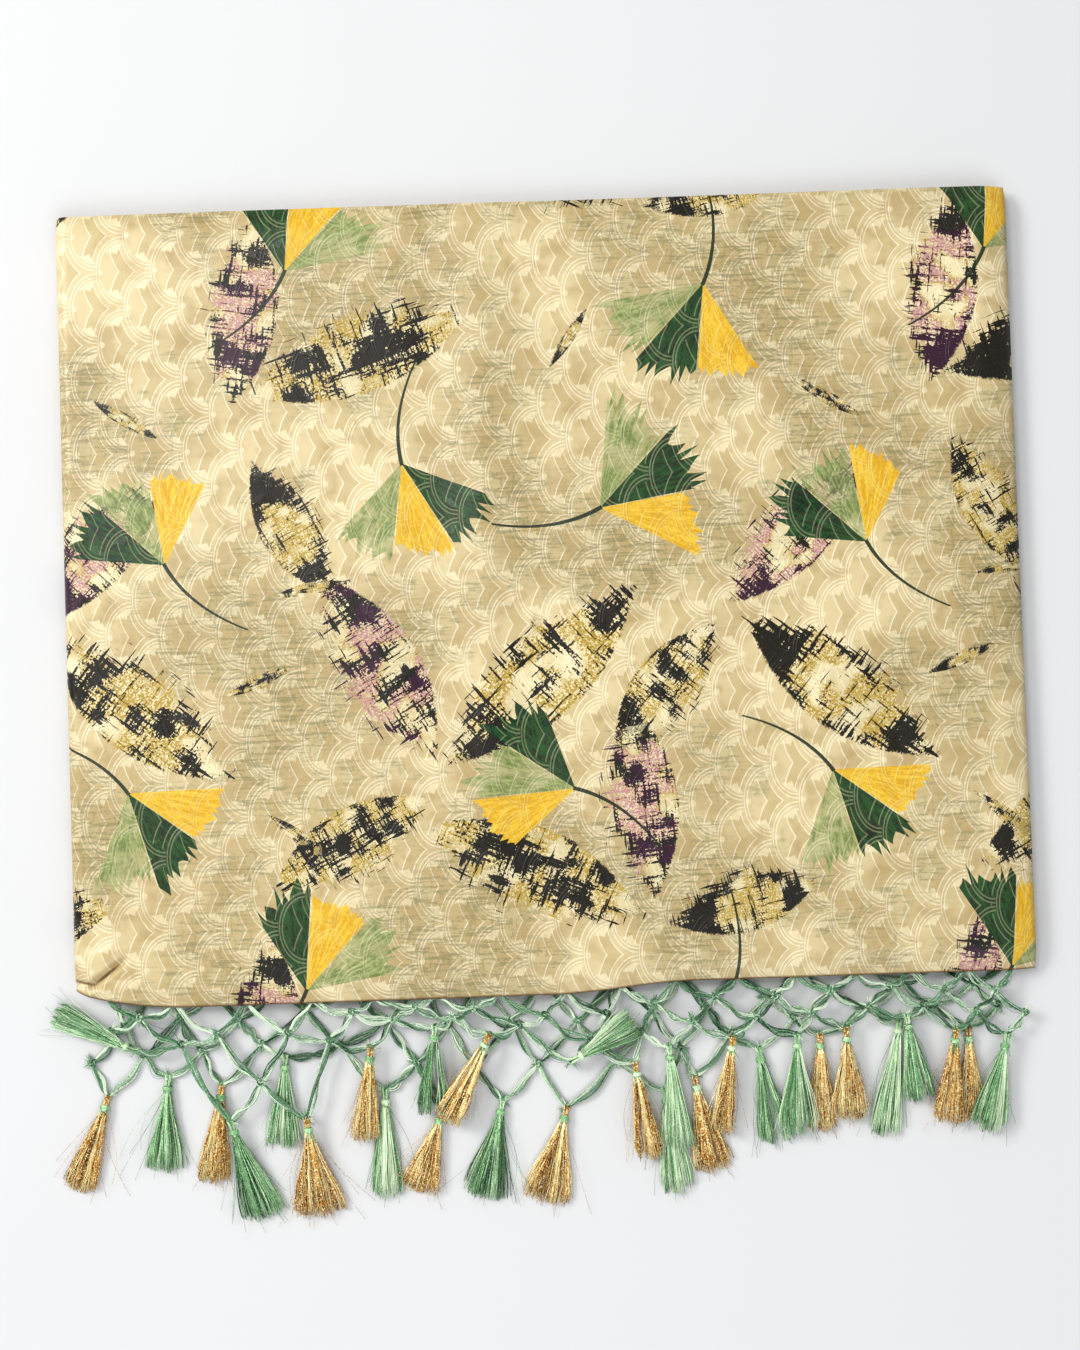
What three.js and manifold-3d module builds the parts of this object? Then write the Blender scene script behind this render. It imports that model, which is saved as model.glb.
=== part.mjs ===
// A folded saree with a knotted fringe along its pallu (the decorated end of the cloth).
//
// The 5.5 m cloth is pleated back and forth into twelve panels, and the pack is then folded once across its
// width, so the long left side is one thick fold and the right side shows the selvedges. The pallu is the
// outermost panel: its upper half lies on top, its lower half underneath. Each half ends in a row of knotted
// net from which the tassels hang.
//
// Millimetres, +Z up. The origin is the middle of the flat underside. The fringe points along -Y and the
// thick fold is on the -X side.

import * as THREE from "three";
import { mergeVertices } from "three/addons/utils/BufferGeometryUtils.js";
import Module from "manifold-3d";

const wasm = await Module();
wasm.setup();

// ---- driving sizes ----------------------------------------------------------------------------------------

const HALF_WIDTH = 280; // half of the folded width; the cloth itself is twice the folded width
const PALLU_END_Y = -232; // where the pallu ends, and the fringe begins
const PLEAT_END_Y = 228; // the end where the pleats turn, 460 mm away
const STACK_HEIGHT = 16;
const WALL = 1.25; // outermost panel
const SEAM_GAP = 0.3; // between pieces that lie on each other

const FOLD_DEPTH = 8; // how far the thick fold stands out past the flat part of the panel
const SELVEDGE_INSET = 4; // the selvedges under the top panel stop this far short of it
const LAYERS_SHOWN = 7; // groups of layers that can be told apart at the pack's edges
const PACK_FRONT_Y = -224; // the hidden pleats stop short of the pallu's end
const LOWER_HALF_END = { y: -225, bow: 1.5, wave: 400 };

// The pallu's end is not quite straight: it bellies out over its left half and is drawn back at the fold.
const EDGE_BELLY = 5.4;
const CORNER_RISE = 14;
const CORNER_REACH = 70;

// Top surface: a pressed crease along the cloth, a shallow swell, and edges that roll down.
const CREASE = { x: -35, height: 0.9, halfWidth: 14 };
const SWELL = { height: 0.7, waveX: 190, waveY: 260, phase: 0.6 };
const EDGE_ROLLS = {
  front: { drop: 5, reach: 18 },
  back: { drop: 4, reach: 12 },
  right: { drop: 6, reach: 20 },
};

// Each half of the pallu ends in a narrow rolled hem. The net is knotted to it: two rows of knots, then the ties
// that the tassels hang from. Hem and cords are flat bundles of silk thread.
const HEM = { thickness: 1.4, fromX: -268, toX: 272, firstStitch: 6 };
const CORD = { width: 3.2, thickness: 1.7, sag: 0.12 };
const KNOT = { thickness: 3, reach: 3 };
const NET_Z = { upper: 8.4, lower: 2.3 };
// Shares of the way from the hem down to the ties, and the least distance from one row to the next.
const ROWS = { first: 0.34, second: 0.68, apart: 5 };
// How far the stitches and the knots are pulled sideways towards the tassels.
const PULL = { stitch: 0.5, first: 0.33, second: 0.67 };
const END_PULL = 14;

// Tassels: a bound head, and locks of thread that fan out from it in two tiers.
const HEAD = {
  // distance from the binding along the tassel, and radius
  profile: [
    { along: -3, radius: 1.1 },
    { along: 0, radius: 2.9 },
    { along: 4, radius: 2.5 },
    { along: 9, radius: 3.2 },
  ],
  sides: 6,
  flatness: 0.8,
};
const TIE_BEHIND = 6.4; // the tie sits this far behind the binding
const LOCKS_PER_TIER = 3;
const LOCK = {
  root: { along: 7.5, spread: 4.2, width: 1.2, rise: 0.9 },
  belly: { share: 0.55, spread: 0.62, width: 0.5, rise: 1 },
  tip: { width: 0.72, rise: 1, rounding: 0.12 },
  thickness: 1.25,
};

// One row for each tassel: which half of the pallu it hangs from, its silk, the binding, the tip and the fan's
// width there.
const TASSELS = [
  { id: "01", half: "upper", silk: "green", head: [-251, -259, 12.3], tip: [-294, -239, 4], fan: 15 },
  { id: "02", half: "lower", silk: "gold", head: [-266, -295, 3.1], tip: [-283, -343, 2.4], fan: 19 },
  { id: "03", half: "lower", silk: "green", head: [-229, -285, 3.1], tip: [-234, -333, 2.4], fan: 24 },
  { id: "04", half: "lower", silk: "gold", head: [-198, -291, 3.1], tip: [-204, -341, 2.4], fan: 18 },
  { id: "05", half: "lower", silk: "green", head: [-160, -275, 3.1], tip: [-163, -322, 2.4], fan: 19 },
  { id: "06", half: "upper", silk: "green", head: [-190, -311, 8.4], tip: [-174, -363, 2.6], fan: 25 },
  { id: "07", half: "upper", silk: "gold", head: [-147, -311, 8.4], tip: [-141, -362, 2.6], fan: 29 },
  { id: "08", half: "upper", silk: "gold", head: [-110, -271, 8.4], tip: [-115, -319, 7.8], fan: 17 },
  { id: "09", half: "lower", silk: "green", head: [-102, -297, 3.1], tip: [-102, -353, 2.4], fan: 18 },
  { id: "10", half: "upper", silk: "green", head: [-72, -260, 8.4], tip: [-75, -306, 7.4], fan: 16 },
  { id: "11", half: "upper", silk: "gold", head: [-43, -265, 11.2], tip: [-67, -309, 11.2], fan: 16 },
  { id: "12", half: "lower", silk: "gold", head: [-71, -309, 3.1], tip: [-84, -351, 2.4], fan: 22 },
  { id: "13", half: "lower", silk: "green", head: [-35, -305, 3.1], tip: [-45, -355, 2.4], fan: 28 },
  { id: "14", half: "lower", silk: "gold", head: [2, -310, 3.1], tip: [-11, -359, 2.4], fan: 26 },
  { id: "15", half: "upper", silk: "green", head: [13, -273, 12.3], tip: [46, -254, 11.8], fan: 18 },
  { id: "16", half: "upper", silk: "gold", head: [45, -285, 8.4], tip: [51, -335, 7.4], fan: 15 },
  { id: "17", half: "upper", silk: "green", head: [65, -276, 8.4], tip: [70, -330, 7.8], fan: 17 },
  { id: "18", half: "lower", silk: "green", head: [62, -302, 3.1], tip: [67, -355, 2.4], fan: 18 },
  { id: "19", half: "lower", silk: "gold", head: [80, -295, 3.1], tip: [88, -344, 2.4], fan: 20 },
  { id: "20", half: "upper", silk: "gold", head: [101, -272, 8.4], tip: [95, -321, 7.4], fan: 15 },
  { id: "21", half: "lower", silk: "green", head: [118, -280, 3.1], tip: [126, -330, 2.4], fan: 19 },
  { id: "22", half: "upper", silk: "green", head: [139, -272, 8.4], tip: [139, -323, 7.4], fan: 24 },
  { id: "23", half: "lower", silk: "gold", head: [153, -273, 3.1], tip: [152, -323, 2.4], fan: 17 },
  { id: "24", half: "upper", silk: "gold", head: [168, -269, 8.4], tip: [169, -316, 7.4], fan: 22 },
  { id: "25", half: "lower", silk: "green", head: [199, -266, 3.1], tip: [189, -326, 2.4], fan: 20 },
  { id: "26", half: "upper", silk: "green", head: [204, -263, 8.4], tip: [210, -306, 5.6], fan: 17 },
  { id: "27", half: "upper", silk: "gold", head: [231, -272, 8.4], tip: [225, -321, 7.4], fan: 16 },
  { id: "28", half: "lower", silk: "gold", head: [240, -272, 3.1], tip: [239, -320, 2.4], fan: 16 },
  { id: "29", half: "upper", silk: "green", head: [260, -276, 8.4], tip: [247, -325, 7.4], fan: 20 },
];

const MATERIALS = {
  cloth: { color: 0xd3bf94, roughness: 0.45, metalness: 0 },
  layers: { color: 0xc2aa7c, roughness: 0.55, metalness: 0 },
  green: { color: 0x5d8f6a, roughness: 0.4, metalness: 0 },
  gold: { color: 0xb5803f, roughness: 0.35, metalness: 0.3 },
};

// ---- small helpers ----------------------------------------------------------------------------------------

const lerp = THREE.MathUtils.lerp;
const smoothstep = THREE.MathUtils.smoothstep;
const material = (name) => new THREE.MeshStandardMaterial(MATERIALS[name]);
const point = ([x, y, z]) => new THREE.Vector3(x, y, z);

// How far past an edge's start a point is: 0 on the flat, 1 at the very edge.
const rollShare = (past, reach) => THREE.MathUtils.clamp(past / reach, 0, 1) ** 2;

function geometryFrom(points, triangles) {
  const geometry = new THREE.BufferGeometry();
  geometry.setAttribute("position", new THREE.Float32BufferAttribute(points.flatMap((p) => p.toArray()), 3));
  geometry.setIndex(triangles.flat());
  return geometry;
}

const evenly = (from, to, steps) => Array.from({ length: steps + 1 }, (_, i) => lerp(from, to, i / steps));

// Two triangles over four corners, in turning order.
const quad = (a, b, c, d) => [
  [a, b, c],
  [a, c, d],
];

function solidOf(geometry) {
  const bare = geometry.clone().deleteAttribute("normal").deleteAttribute("uv");
  const merged = mergeVertices(bare, 1e-3);
  return new wasm.Manifold(
    new wasm.Mesh({
      numProp: 3,
      vertProperties: merged.attributes.position.array,
      triVerts: new Uint32Array(merged.index.array),
    }),
  );
}

// Joins overlapping closed geometries into one.
function joined(geometries) {
  const { vertProperties, triVerts } = geometries.map(solidOf).reduce((whole, next) => whole.add(next)).getMesh();
  const geometry = new THREE.BufferGeometry();
  geometry.setAttribute("position", new THREE.BufferAttribute(vertProperties, 3));
  geometry.setIndex(new THREE.BufferAttribute(triVerts, 1));
  return geometry;
}

function mesh(name, geometry, look) {
  const made = new THREE.Mesh(geometry, material(look));
  made.name = name;
  return made;
}

// A closed loft through rings of equal point count, with a flat cap on each end.
function loft(rings) {
  const size = rings[0].length;
  const points = rings.flat();
  const triangles = [];
  for (let r = 0; r < rings.length - 1; r++)
    for (let i = 0; i < size; i++) {
      const next = (i + 1) % size;
      triangles.push(...quad(r * size + i, (r + 1) * size + i, (r + 1) * size + next, r * size + next));
    }
  const last = (rings.length - 1) * size;
  for (let i = 1; i < size - 1; i++) triangles.push([0, i, i + 1], [last, last + i + 1, last + i]);
  return geometryFrom(points, triangles);
}

const THREE_SIDED = [
  { across: -0.5, height: -0.5 },
  { across: 0, height: 0.5 },
  { across: 0.5, height: -0.5 },
];

// A three-sided band along a list of centre points. It lies flat: its width is level.
function band(centres, widths, thickness) {
  const rings = centres.map((centre, i) => {
    const before = centres[Math.max(i - 1, 0)];
    const after = centres[Math.min(i + 1, centres.length - 1)];
    const along = after.clone().sub(before).normalize();
    const side = new THREE.Vector3(-along.y, along.x, 0).normalize();
    const up = along.clone().cross(side);
    return THREE_SIDED.map(({ across, height }) =>
      centre.clone().addScaledVector(side, across * widths[i]).addScaledVector(up, height * thickness),
    );
  });
  return loft(rings);
}


// ---- the cloth's form -------------------------------------------------------------------------------------

function palluEndY(x) {
  const belly = EDGE_BELLY * (1 - smoothstep(x, 0, 80));
  const corner = Math.max(0, 1 - (x + HALF_WIDTH) / CORNER_REACH) ** 2.2;
  return PALLU_END_Y - belly + CORNER_RISE * corner;
}

// The lower half of the pallu ends a little short of the upper one.
function lowerEndY(x) {
  return LOWER_HALF_END.y - LOWER_HALF_END.bow * Math.cos((x * Math.PI) / LOWER_HALF_END.wave);
}

function topZ(x, y) {
  const crease = CREASE.height * Math.exp(-(((x - CREASE.x) / CREASE.halfWidth) ** 2));
  const swell =
    SWELL.height * Math.sin((x * Math.PI) / SWELL.waveX + SWELL.phase) * Math.cos((y * Math.PI) / SWELL.waveY);
  const { front, back, right } = EDGE_ROLLS;
  const roll =
    front.drop * rollShare(palluEndY(x) + front.reach - y, front.reach) +
    back.drop * rollShare(y - PLEAT_END_Y + back.reach, back.reach) +
    right.drop * rollShare(x - HALF_WIDTH + right.reach, right.reach);
  return STACK_HEIGHT + crease + swell - roll;
}

// Places along the cloth and across it where the surface is sampled. They crowd at the crease and the rolls.
const FLAT_LEFT_X = -HALF_WIDTH + FOLD_DEPTH;
const creaseStep = CREASE.halfWidth * 0.85;
const ALONG_X = [
  ...evenly(FLAT_LEFT_X, CREASE.x - 2 * creaseStep, 6),
  ...evenly(CREASE.x - creaseStep, CREASE.x + creaseStep, 2),
  ...evenly(CREASE.x + 2 * creaseStep, HALF_WIDTH - EDGE_ROLLS.right.reach, 7),
  ...evenly(HALF_WIDTH - EDGE_ROLLS.right.reach, HALF_WIDTH, 3).slice(1),
];

// Rows of the surface from the pallu's end to the pleats' end, over a place on the x axis.
function rowsAt(x) {
  const { front, back } = EDGE_ROLLS;
  const end = palluEndY(x);
  return [
    ...evenly(end, end + front.reach, 3),
    ...evenly(end + front.reach, PLEAT_END_Y - back.reach, 7).slice(1),
    ...evenly(PLEAT_END_Y - back.reach, PLEAT_END_Y, 3).slice(1),
  ];
}

// The pallu panel: over the top from right to left, round the thick fold, and back along the underside.
function palluPanel() {
  const foldSteps = 8;
  const underside = evenly(FLAT_LEFT_X, HALF_WIDTH - SELVEDGE_INSET, 6);

  // Each function gives a column of points, a given depth in from the panel's outer face.
  const onTop = (x, depth) => rowsAt(x).map((y) => new THREE.Vector3(x, y, topZ(x, y) - depth));
  const onFold = (share, depth) => {
    const turn = share * Math.PI;
    const x = FLAT_LEFT_X - (FOLD_DEPTH - depth) * Math.sin(turn);
    return rowsAt(x).map((y, row) => {
      const middle = topZ(FLAT_LEFT_X, y) / 2;
      const settled = row === 0 ? lerp(y, lowerEndY(x), share) : y;
      return new THREE.Vector3(x, settled, middle + (middle - depth) * Math.cos(turn));
    });
  };
  const onUnderside = (x, depth) =>
    rowsAt(FLAT_LEFT_X).map((y, row) => new THREE.Vector3(x, row === 0 ? lowerEndY(x) : y, depth));

  const sheet = (depth) => [
    ...ALONG_X.toReversed().map((x) => onTop(x, depth)),
    ...evenly(0, 1, foldSteps).slice(1, -1).map((share) => onFold(share, depth)),
    ...underside.map((x) => onUnderside(x, depth)),
  ];
  return wall(sheet(0), sheet(WALL));
}

// A closed wall between an outer and an inner sheet, each given as columns of points.
function wall(outer, inner) {
  const rows = outer[0].length - 1;
  const count = outer.length * (rows + 1);
  const points = [...outer, ...inner].flat();
  const at = (column, row, sheet) => sheet * count + column * (rows + 1) + row;
  const lastColumn = outer.length - 1;
  const triangles = [];
  for (let c = 0; c < lastColumn; c++) {
    for (let r = 0; r < rows; r++) {
      triangles.push(...quad(at(c, r, 0), at(c, r + 1, 0), at(c + 1, r + 1, 0), at(c + 1, r, 0)));
      triangles.push(...quad(at(c, r, 1), at(c + 1, r, 1), at(c + 1, r + 1, 1), at(c, r + 1, 1)));
    }
    triangles.push(...quad(at(c, 0, 0), at(c + 1, 0, 0), at(c + 1, 0, 1), at(c, 0, 1)));
    triangles.push(...quad(at(c, rows, 1), at(c + 1, rows, 1), at(c + 1, rows, 0), at(c, rows, 0)));
  }
  for (let r = 0; r < rows; r++) {
    triangles.push(...quad(at(0, r, 0), at(0, r, 1), at(0, r + 1, 1), at(0, r + 1, 0)));
    triangles.push(
      ...quad(at(lastColumn, r, 1), at(lastColumn, r, 0), at(lastColumn, r + 1, 0), at(lastColumn, r + 1, 1)),
    );
  }
  return geometryFrom(points, triangles);
}

// The eleven hidden panels as one rounded solid. Its front, back and right edges are ribbed, one rib for each
// group of layers, and its left edge nests in the thick fold.
function foldedLayers() {
  const clear = WALL + SEAM_GAP;
  const foldDepth = FOLD_DEPTH - clear;
  const rightX = HALF_WIDTH - SELVEDGE_INSET;
  const backY = PLEAT_END_Y - 1;
  const rib = { depth: 1.5, unevenness: 1.6, turns: 0.37 };

  // A level is a share of the height, on a rib's crest or in the groove between two ribs.
  const levels = Array.from({ length: 2 * LAYERS_SHOWN + 1 }, (_, k) => ({
    height: k / (2 * LAYERS_SHOWN),
    inset: k % 2 ? rib.unevenness * ((k * rib.turns) % 1) : rib.depth + rib.unevenness / 2,
  }));

  // The columns and rows are the pallu panel's, but for the outermost ones, which make the rim.
  const inner = ALONG_X.slice(1, -2);
  const columnsAt = ({ height, inset }) => {
    const nested = foldDepth * Math.sqrt(1 - (2 * height - 1) ** 2);
    return [FLAT_LEFT_X - nested, ...inner, rightX - inset];
  };
  const sheet = (level) =>
    columnsAt(level).map((x) => {
      const frontY = PACK_FRONT_Y + 1.5 * Math.sin(x / 60) + level.inset;
      const ys = [frontY, ...rowsAt(Math.max(x, FLAT_LEFT_X)).slice(3, -2), backY - level.inset];
      return ys.map((y) => new THREE.Vector3(x, y, lerp(clear, topZ(x, y) - clear, level.height)));
    });

  // Going round the rim of a level, anticlockwise from its front left corner.
  const rim = (columns) => [
    ...columns.slice(0, -1).map((column) => column[0]),
    ...columns.at(-1).slice(0, -1),
    ...columns.slice(1).toReversed().map((column) => column.at(-1)),
    ...columns[0].slice(1).toReversed(),
  ];
  const rims = levels.map((level) => rim(sheet(level)));
  const size = rims[0].length;
  const points = rims.flat();
  const triangles = [];
  for (let k = 0; k < levels.length - 1; k++)
    for (let i = 0; i < size; i++) {
      const next = (i + 1) % size;
      triangles.push(...quad(k * size + i, k * size + next, (k + 1) * size + next, (k + 1) * size + i));
    }

  // The flat underside and the swelling top are grids that end on the first and last rims.
  const cover = (columns, facesUp) => {
    const base = points.length;
    const rows = columns[0].length;
    points.push(...columns.flat());
    for (let c = 0; c < columns.length - 1; c++)
      for (let r = 0; r < rows - 1; r++) {
        const corner = base + c * rows + r;
        const corners = [corner, corner + rows, corner + rows + 1, corner + 1];
        triangles.push(...quad(...(facesUp ? corners : corners.reverse())));
      }
  };
  cover(sheet(levels.at(-1)), true);
  cover(sheet(levels[0]), false);
  return mergeVertices(geometryFrom(points, triangles), 1e-3);
}

// ---- the fringe -------------------------------------------------------------------------------------------

// Where the hem of each half runs, as a function of x.
const HEM_LINES = {
  upper: (x) => {
    const y = palluEndY(x) + SEAM_GAP + CORD.width / 2;
    return new THREE.Vector3(x, y, topZ(x, palluEndY(x)) - WALL - SEAM_GAP - HEM.thickness / 2);
  },
  lower: (x) => new THREE.Vector3(x, lowerEndY(x) - SEAM_GAP - CORD.width / 2, SEAM_GAP + HEM.thickness / 2),
};

// The level direction in which a tassel lies.
const lieOf = ({ head, tip }) => point(tip).sub(point(head)).setZ(0).normalize();

// The tie of the net that a tassel hangs from.
const tieOf = (tassel) => point(tassel.head).addScaledVector(lieOf(tassel), -TIE_BEHIND).setZ(NET_Z[tassel.half]);

// The knots of one half's net. A knot sits between each two neighbours of the row before, and always above the
// ties, so that the cords come down to them.
function knotsOf(half) {
  const hem = HEM_LINES[half];
  const ties = TASSELS.filter((tassel) => tassel.half === half).map(tieOf);
  const count = ties.length;
  const tieDrops = ties.map((tie) => hem(tie.x).y - tie.y);
  const neighbours = (list, i) => [list[Math.max(i - 1, 0)], list[Math.min(i, count - 1)]];
  const mean = (a, b) => (a + b) / 2;

  // Where the ties draw the cords between two of them. Past the ends it is a little further out.
  const pulledX = (i) => {
    const [before, after] = neighbours(ties, i);
    return mean(before.x, after.x) + END_PULL * ((i === count) - (i === 0));
  };
  const sewn = Array.from({ length: count + 1 }, (_, i) => {
    const even = lerp(HEM.fromX + HEM.firstStitch, HEM.toX - HEM.firstStitch, i / count);
    return hem(i % count === 0 ? even : lerp(even, pulledX(i), PULL.stitch));
  });
  const secondDrops = sewn.map((_, i) => {
    const drops = neighbours(tieDrops, i);
    return Math.min(ROWS.second * mean(...drops), Math.min(...drops) - ROWS.apart);
  });
  const second = sewn.map((stitch, i) => {
    const x = lerp(stitch.x, pulledX(i), PULL.second);
    return new THREE.Vector3(x, hem(x).y - secondDrops[i], NET_Z[half]);
  });
  const first = ties.map((tie, i) => {
    const x = lerp(mean(sewn[i].x, sewn[i + 1].x), tie.x, PULL.first);
    const drop = Math.min(ROWS.first * tieDrops[i], Math.min(secondDrops[i], secondDrops[i + 1]) - ROWS.apart);
    return new THREE.Vector3(x, hem(x).y - drop, mean(hem(x).z, NET_Z[half]));
  });
  return { sewn, first, second, ties };
}

// Points beside a chain of knots, half a cord's width to its left. The middle of each cord sags, the hem doesn't.
// Each point keeps how thick the net is there. A knot stands out where the chain turns away from the points.
function sideOf(knots, half, closed) {
  const hem = HEM_LINES[half];
  const isSewn = (knot) => knot.equals(hem(knot.x));
  const chain = knots.flatMap((knot, i) => {
    const next = knots[(i + 1) % knots.length];
    const here = { at: knot, thickness: isSewn(knot) ? HEM.thickness : KNOT.thickness };
    if (!closed && i === knots.length - 1) return [here];
    const middle = knot.clone().lerp(next, 0.5);
    if (isSewn(knot) && isSewn(next)) return [here, { at: hem(middle.x), thickness: HEM.thickness }];
    middle.y -= CORD.sag * Math.abs(next.x - knot.x);
    return [here, { at: middle, thickness: CORD.thickness }];
  });

  const normalFrom = (a, b) => new THREE.Vector3(a.y - b.y, b.x - a.x, 0).normalize();
  return chain.map(({ at, thickness }, i) => {
    const wrap = (k) => chain[(k + chain.length) % chain.length].at;
    const before = closed || i > 0 ? normalFrom(wrap(i - 1), at) : null;
    const after = closed || i < chain.length - 1 ? normalFrom(at, wrap(i + 1)) : null;
    const out = (before ?? after).clone().add(after ?? before).normalize();
    const mitre = CORD.width / 2 / out.dot(after ?? before);
    const standsOut = thickness === KNOT.thickness && before && after && after.clone().cross(before).z > 0;
    return { at: at.clone().addScaledVector(out, standsOut ? KNOT.reach : Math.min(mitre, KNOT.reach)), thickness };
  });
}

// A plate with its own height and thickness at each point of its outline and of its openings. All of them run
// with the plate on their right.
function plate(outline, openings) {
  const loops = [outline, ...openings];
  const corners = loops.flat();
  const count = corners.length;
  const points = [1, -1].flatMap((side) =>
    corners.map(({ at, thickness }) => at.clone().setZ(at.z + (side * thickness) / 2)),
  );
  const flat = (loop) => loop.map(({ at }) => new THREE.Vector2(at.x, at.y));
  const triangles = THREE.ShapeUtils.triangulateShape(flat(outline), openings.map(flat)).flatMap((corner) => {
    const [a, b, c] = corner.map((i) => corners[i].at);
    const facesUp = (b.x - a.x) * (c.y - a.y) - (c.x - a.x) * (b.y - a.y) > 0;
    const top = facesUp ? corner : corner.toReversed();
    return [top, top.toReversed().map((i) => i + count)];
  });
  let base = 0;
  for (const loop of loops) {
    for (let i = 0; i < loop.length; i++) {
      const [a, b] = [base + i, base + ((i + 1) % loop.length)];
      triangles.push(...quad(a + count, a, b, b + count));
    }
    base += loop.length;
  }
  return geometryFrom(points, triangles);
}

// Net of one half with its hem: cords run from stitch to knot to knot to tie, and cross in diamonds.
function net(half) {
  const hem = HEM_LINES[half];
  const { sewn, first, second, ties } = knotsOf(half);
  const count = ties.length;
  const openings = [];
  for (let i = 0; i < count; i++) {
    openings.push([sewn[i], first[i], sewn[i + 1]]);
    openings.push([first[i], second[i], ties[i], second[i + 1]]);
    if (i > 0) openings.push([sewn[i], first[i - 1], second[i], first[i]]);
  }
  const lowerSide = [
    hem(HEM.toX),
    sewn[count],
    first[count - 1],
    ...ties.flatMap((tie, i) => [second[i], tie]).concat(second[count]).toReversed(),
    first[0],
    sewn[0],
    hem(HEM.fromX),
  ];
  const hemTop = ALONG_X.map((x) => THREE.MathUtils.clamp(x, HEM.fromX, HEM.toX)).map((x) => ({
    at: hem(x).setY(hem(x).y + CORD.width / 2),
    thickness: HEM.thickness,
  }));
  const outline = [...hemTop.slice(0, -1), ...sideOf(lowerSide, half, false)];
  return plate(outline, openings.map((loop) => sideOf(loop, half, true)));
}

function tasselHead(tassel) {
  const lie = lieOf(tassel);
  const side = new THREE.Vector3(-lie.y, lie.x, 0);
  const rings = HEAD.profile.map(({ along, radius }) =>
    Array.from({ length: HEAD.sides }, (_, i) => {
      const turn = (-2 * Math.PI * (i + 0.5)) / HEAD.sides;
      return point(tassel.head)
        .addScaledVector(lie, along)
        .addScaledVector(side, radius * Math.cos(turn))
        .add(new THREE.Vector3(0, 0, HEAD.flatness * radius * Math.sin(turn)));
    }),
  );
  return loft(rings);
}

// One lock of thread, from inside the head to its place in the fan. Place runs from -0.5 to 0.5 across the fan.
function lock(tassel, place, tier) {
  const head = point(tassel.head);
  const tip = point(tassel.tip);
  const lie = lieOf(tassel);
  const side = new THREE.Vector3(-lie.y, lie.x, 0);
  const length = Math.hypot(tip.x - head.x, tip.y - head.y);
  const pitch = tassel.fan / (2 * LOCKS_PER_TIER);
  const at = (along, spread, rise) =>
    head
      .clone()
      .addScaledVector(lie, along)
      .addScaledVector(side, spread * place)
      .setZ(lerp(head.z, tip.z, (along - LOCK.root.along) / (length - LOCK.root.along)) + rise * tier);
  const reach = length * (1 - LOCK.tip.rounding * (2 * place) ** 2);
  const centres = [
    at(LOCK.root.along, LOCK.root.spread, LOCK.root.rise),
    at(length * LOCK.belly.share, tassel.fan * LOCK.belly.spread, LOCK.belly.rise),
    at(reach, tassel.fan - pitch, LOCK.tip.rise),
  ];
  return band(centres, [LOCK.root.width, LOCK.belly.width * pitch, LOCK.tip.width * pitch], LOCK.thickness);
}

function tassel(row) {
  const locks = [-1, 1].flatMap((tier) =>
    Array.from({ length: LOCKS_PER_TIER }, (_, i) => {
      const place = (i + 0.5 + tier / 4) / LOCKS_PER_TIER - 0.5;
      return lock(row, place, tier);
    }),
  );
  return mesh(`tassel_${row.id}`, joined([tasselHead(row), ...locks]), row.silk);
}

// ---- the whole --------------------------------------------------------------------------------------------

const saree = new THREE.Group();
saree.add(mesh("pallu_panel", palluPanel(), "cloth"));
saree.add(mesh("folded_layers", foldedLayers(), "layers"));
saree.add(mesh("fringe_upper", net("upper"), "green"));
saree.add(mesh("fringe_lower", net("lower"), "green"));
for (const row of TASSELS) saree.add(tassel(row));

export default saree;
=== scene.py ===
"""A folded silk saree with a printed leaf and fan-flower design, a knotted net and silk tassels.

Lengths in the tables are millimetres, in the frame of the CAD model: +Z up, the fringe towards -Y, the
thick fold on the -X side. Meshes are built in millimetres and scaled to metres when they are made.
"""

import itertools
import math

import bpy
import numpy as np
from mathutils import Euler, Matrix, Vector


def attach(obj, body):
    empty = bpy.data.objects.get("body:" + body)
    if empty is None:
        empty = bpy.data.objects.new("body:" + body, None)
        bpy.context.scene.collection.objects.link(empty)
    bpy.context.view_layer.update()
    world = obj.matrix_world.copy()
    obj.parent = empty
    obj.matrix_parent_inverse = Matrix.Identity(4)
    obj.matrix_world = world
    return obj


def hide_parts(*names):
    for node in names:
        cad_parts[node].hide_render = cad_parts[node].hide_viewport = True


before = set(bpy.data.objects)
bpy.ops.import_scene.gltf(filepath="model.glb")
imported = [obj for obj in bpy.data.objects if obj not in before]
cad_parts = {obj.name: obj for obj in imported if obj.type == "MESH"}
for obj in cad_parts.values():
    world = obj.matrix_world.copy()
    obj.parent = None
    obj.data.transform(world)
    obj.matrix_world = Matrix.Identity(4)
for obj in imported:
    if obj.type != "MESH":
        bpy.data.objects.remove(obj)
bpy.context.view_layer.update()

MM = 0.001

# ---- sizes, mostly the CAD model's -------
HALF_WIDTH = 280
PALLU_END_Y = -232
PLEAT_END_Y = 228
STACK_HEIGHT = 16
FOLD_DEPTH = 8
FLAT_LEFT_X = -HALF_WIDTH + FOLD_DEPTH
SELVEDGE_X = HALF_WIDTH - 4
PACK_FRONT_Y = -224
SEAM_GAP = 0.3
WALL = 1.25
HEM_THICKNESS = 1.4
HEM_FROM_X, HEM_TO_X, FIRST_STITCH = -268, 272, 6
CORD_WIDTH = 3.2
CORD_SAG = 0.12
NET_Z = {"upper": 8.4, "lower": 2.3}
TIE_BEHIND = 6.4

# How the pallu's end curves: its belly on the left, its corner by the fold, and the lower half's end.
BELLY, BELLY_FADE = 5.4, 80
CORNER_RISE, CORNER_REACH, CORNER_POWER = 10, 70, 2.2
LOWER_END_Y, LOWER_BELLY, LOWER_SPAN = -225, 1.5, 400

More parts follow.
